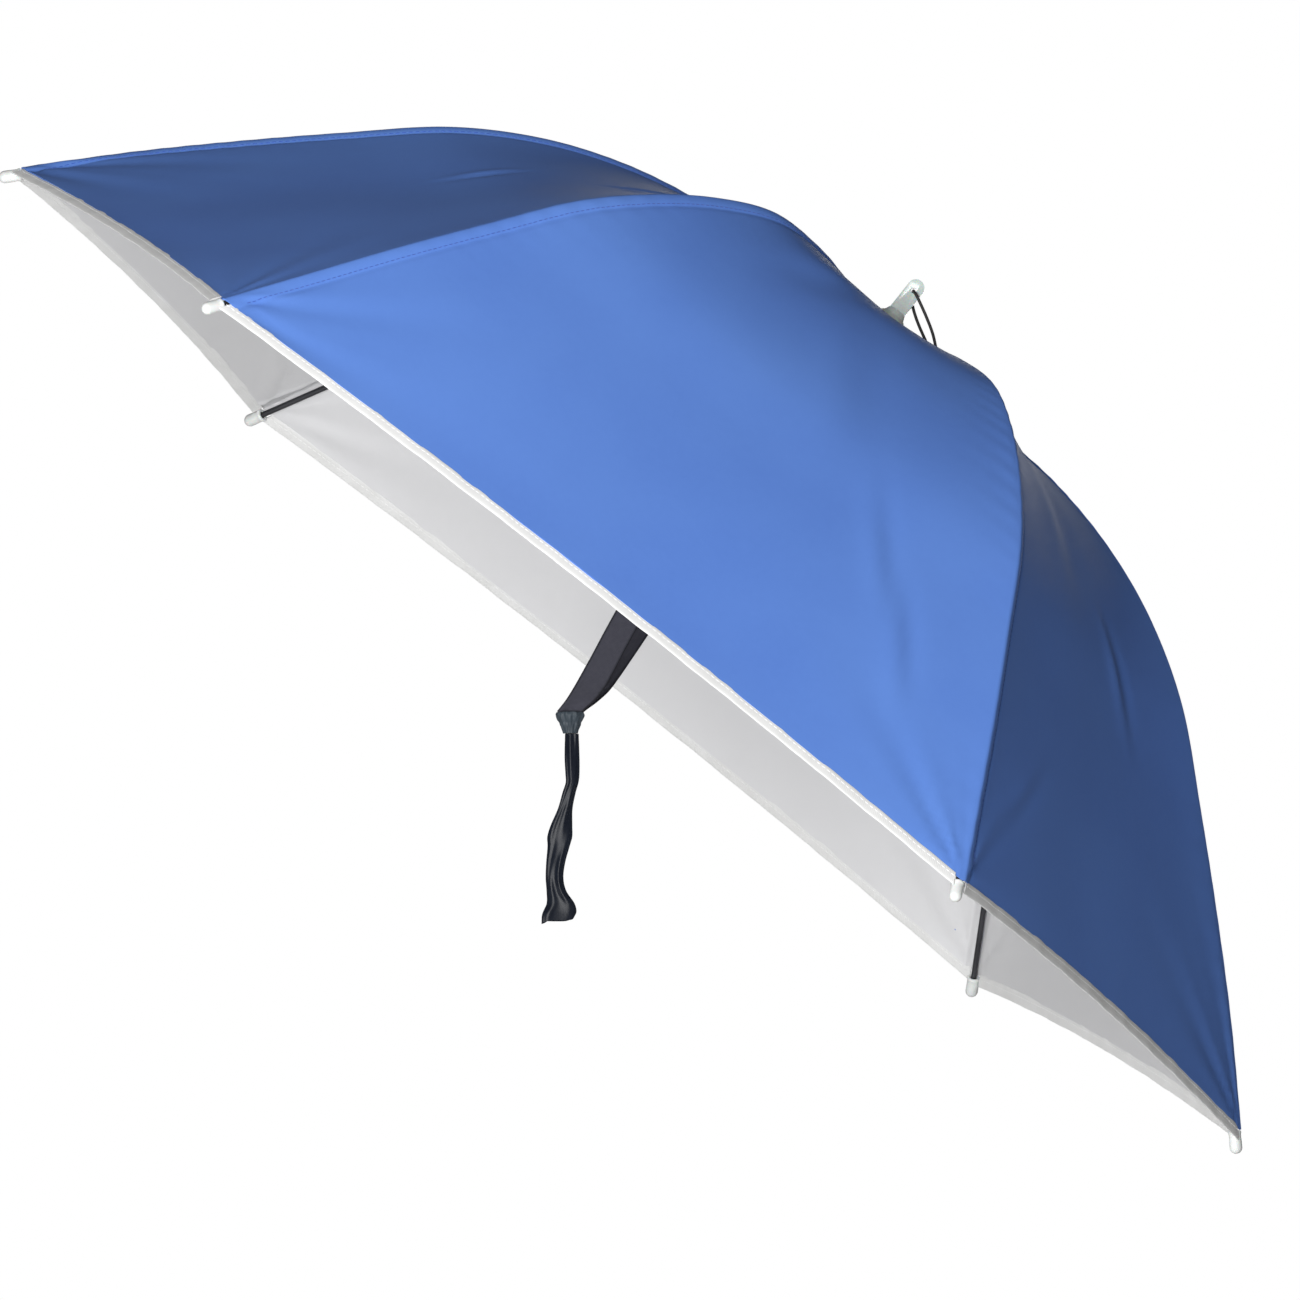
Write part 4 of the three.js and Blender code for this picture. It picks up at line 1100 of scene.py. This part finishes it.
# The slide's outline: up is a share of SLIDE_TALL, wide of its two widths.
SLIDE_ROWS = [
    {"up": -0.5, "wide": 0.5},
    {"up": -0.36, "wide": 0.56},
    {"up": 0.0, "wide": 0.76},
    {"up": 0.36, "wide": 0.98},
    {"up": 0.5, "wide": 0.92},
]
SLIDE_STEPS = 40
SLIDE_SIDES = 96
SLIDE_FOLD = 0.055
SLIDE_CRIMP = 0.03


def strap_slide():
    up = np.linspace(-0.5, 0.5, SLIDE_STEPS)[:, None]
    wide = table_at(SLIDE_ROWS, "up", "wide", up)
    angle = np.linspace(0, 2 * math.pi, SLIDE_SIDES, endpoint=False)[None]
    folds = 1 + SLIDE_FOLD * np.cos(9 * angle + 5 * up) + SLIDE_CRIMP * np.cos(17 * angle - 4 * up)
    waist = 0.94 + 0.06 * np.minimum(1, np.abs(up) / 0.12)
    x = SLIDE_BREADTH / 2 * wide * folds * waist * np.cos(angle)
    y = SLIDE_DEPTH / 2 * wide * folds * waist * np.sin(angle)
    middle = np.array([0, -GATHER_FORWARD, -GATHER_DROP])
    points = middle + np.stack([x, y, up * SLIDE_TALL + 0 * angle], -1)
    dress(tube_mesh("gathered_slide", points, GATHERED, crease=70), "strap_tape", "strap_slide")


TAIL_STEPS = 150
TAIL_SIDES = 64
TAIL_FLARES = 0.86
TAIL_OPENS = 0.93
TAIL_HOLLOW = 7


def strap_tail():
    """The satin tail: a ribbon folded lengthwise, twisted, and flared at its end."""
    share = np.linspace(0, 1, TAIL_STEPS)
    columns = ("back", "wide", "deep", "turn", "fold")
    rows = {name: table_at(TAIL_ROWS, "along", name, share) for name in columns}
    top = np.array([0, -GATHER_FORWARD, -GATHER_DROP - SLIDE_TALL / 2 - GAP])
    middles = top + np.outer(rows["back"] * TAIL_LENGTH, BACK) - np.outer(share * TAIL_LENGTH, UP)
    turn = np.radians(rows["turn"])[:, None]
    a = BACK * np.cos(turn) - LEFT * np.sin(turn)
    b = LEFT * np.cos(turn) + BACK * np.sin(turn)
    angle = np.linspace(0, 2 * math.pi, TAIL_SIDES, endpoint=False)[None]
    wide = (rows["wide"] * TAIL_WIDTH / 2)[:, None]
    deep = (rows["deep"] * TAIL_WIDTH / 2)[:, None]
    drift = 5.5 * share[:, None]
    grooves = np.cos(5 * angle + drift) + 0.5 * np.cos(9 * angle - 1.6 * drift)
    fold = 1 - rows["fold"][:, None] * (0.32 + 0.32 * grooves)
    flare = np.clip((share - TAIL_FLARES) / 0.1, 0, 1)[:, None]
    round_x = np.sign(np.cos(angle)) * np.abs(np.cos(angle)) ** (0.85 - 0.3 * flare)
    corners = np.stack([wide * round_x * (0.94 + 0.06 * fold), deep * np.sin(angle) * fold], -1)
    points = swept(middles, a, b, corners)
    hollow = np.clip((share - TAIL_OPENS) / (1 - TAIL_OPENS), 0, 1)[:, None]
    points[..., 2] += hollow * (0.16 * wide * np.cos(angle) + 0.5 * np.cos(3 * angle + 0.6))
    rim = middles[-1] + 0.80 * (points[-1] - middles[-1])
    deeper = middles[-1] + 0.72 * (points[-1] - middles[-1]) + UP * TAIL_HOLLOW
    points = np.concatenate([points, rim[None] + UP * 0.3, deeper[None]])
    run = np.append(share * TAIL_LENGTH, [TAIL_LENGTH, TAIL_LENGTH])
    uvs = np.stack([np.broadcast_to(angle * 3, (len(run), TAIL_SIDES)), run[:, None] + 0 * angle], -1)
    tail = tube_mesh("satin_tail", points, SATIN, uvs.reshape(-1, 2) * MM, crease=55)
    dress(tail, "tail_ribbon", "strap_tail")


# Lights, floor and surroundings.
FLOOR_HEIGHT = -1.7
FLOOR_HALF = 400
SOFT_LIGHT = 0.09


def lamp(name, place, size, power, target=(0, -0.03, -0.03)):
    light = bpy.data.lights.new(name, "AREA")
    light.shape = "DISK"
    light.size = size
    light.energy = power
    holder = bpy.data.objects.new(name, light)
    holder.location = place
    holder.visible_camera = False
    holder.rotation_mode = "QUATERNION"
    holder.rotation_quaternion = (Vector(target) - Vector(place)).to_track_quat("-Z", "Y")
    bpy.context.scene.collection.objects.link(holder)


def studio():
    signs = [(-1, -1), (1, -1), (1, 1), (-1, 1)]
    corners = [(x * FLOOR_HALF, y * FLOOR_HALF, FLOOR_HEIGHT) for x, y in signs]
    mesh = bpy.data.meshes.new("floor")
    mesh.from_pydata(corners, [], [(0, 1, 2, 3)])
    mesh.materials.append(floor_paint())
    floor = bpy.data.objects.new("floor", mesh)
    bpy.context.scene.collection.objects.link(floor)
    lamp("key_light", (2.5, -0.5, -0.10), 1.5, 80)
    lamp("low_fill", (1.5, -2.4, -1.3), 1.4, 12)
    lamp("far_fill", (-4.3, 0.3, 0.5), 2.4, 25)
    world = bpy.data.worlds.new("studio")
    world.use_nodes = True
    nodes = world.node_tree.nodes
    background = nodes["Background"]
    path = nodes.new("ShaderNodeLightPath")
    tone = nodes.new("ShaderNodeMix")
    tone.data_type = "FLOAT"
    tone.inputs[2].default_value = SOFT_LIGHT
    tone.inputs[3].default_value = 1.0
    world.node_tree.links.new(path.outputs["Is Camera Ray"], tone.inputs[0])
    world.node_tree.links.new(tone.outputs[0], background.inputs["Strength"])
    background.inputs["Color"].default_value = (1, 1, 1, 1)
    bpy.context.scene.world = world
    bpy.context.scene.view_settings.view_transform = "Standard"


for rib in RIBS:
    steel_rib(rib)
    tip_cap(rib)
    moulded(f"leg_{rib['name']}", f"band_leg_{rib['name']}", PLASTIC, "white_plastic", 0.35)
for place in range(len(GORES)):
    gore(place)
    hem(place)
moulded("crown_hub", "hub", PLASTIC, "white_plastic", 0.5)
moulded("crown_finial", "finial", MILKY, "finial_plastic", 0.7)
headband()
chin_strap(1, "left")
chin_strap(-1, "right")
strap_slide()
strap_tail()
studio()
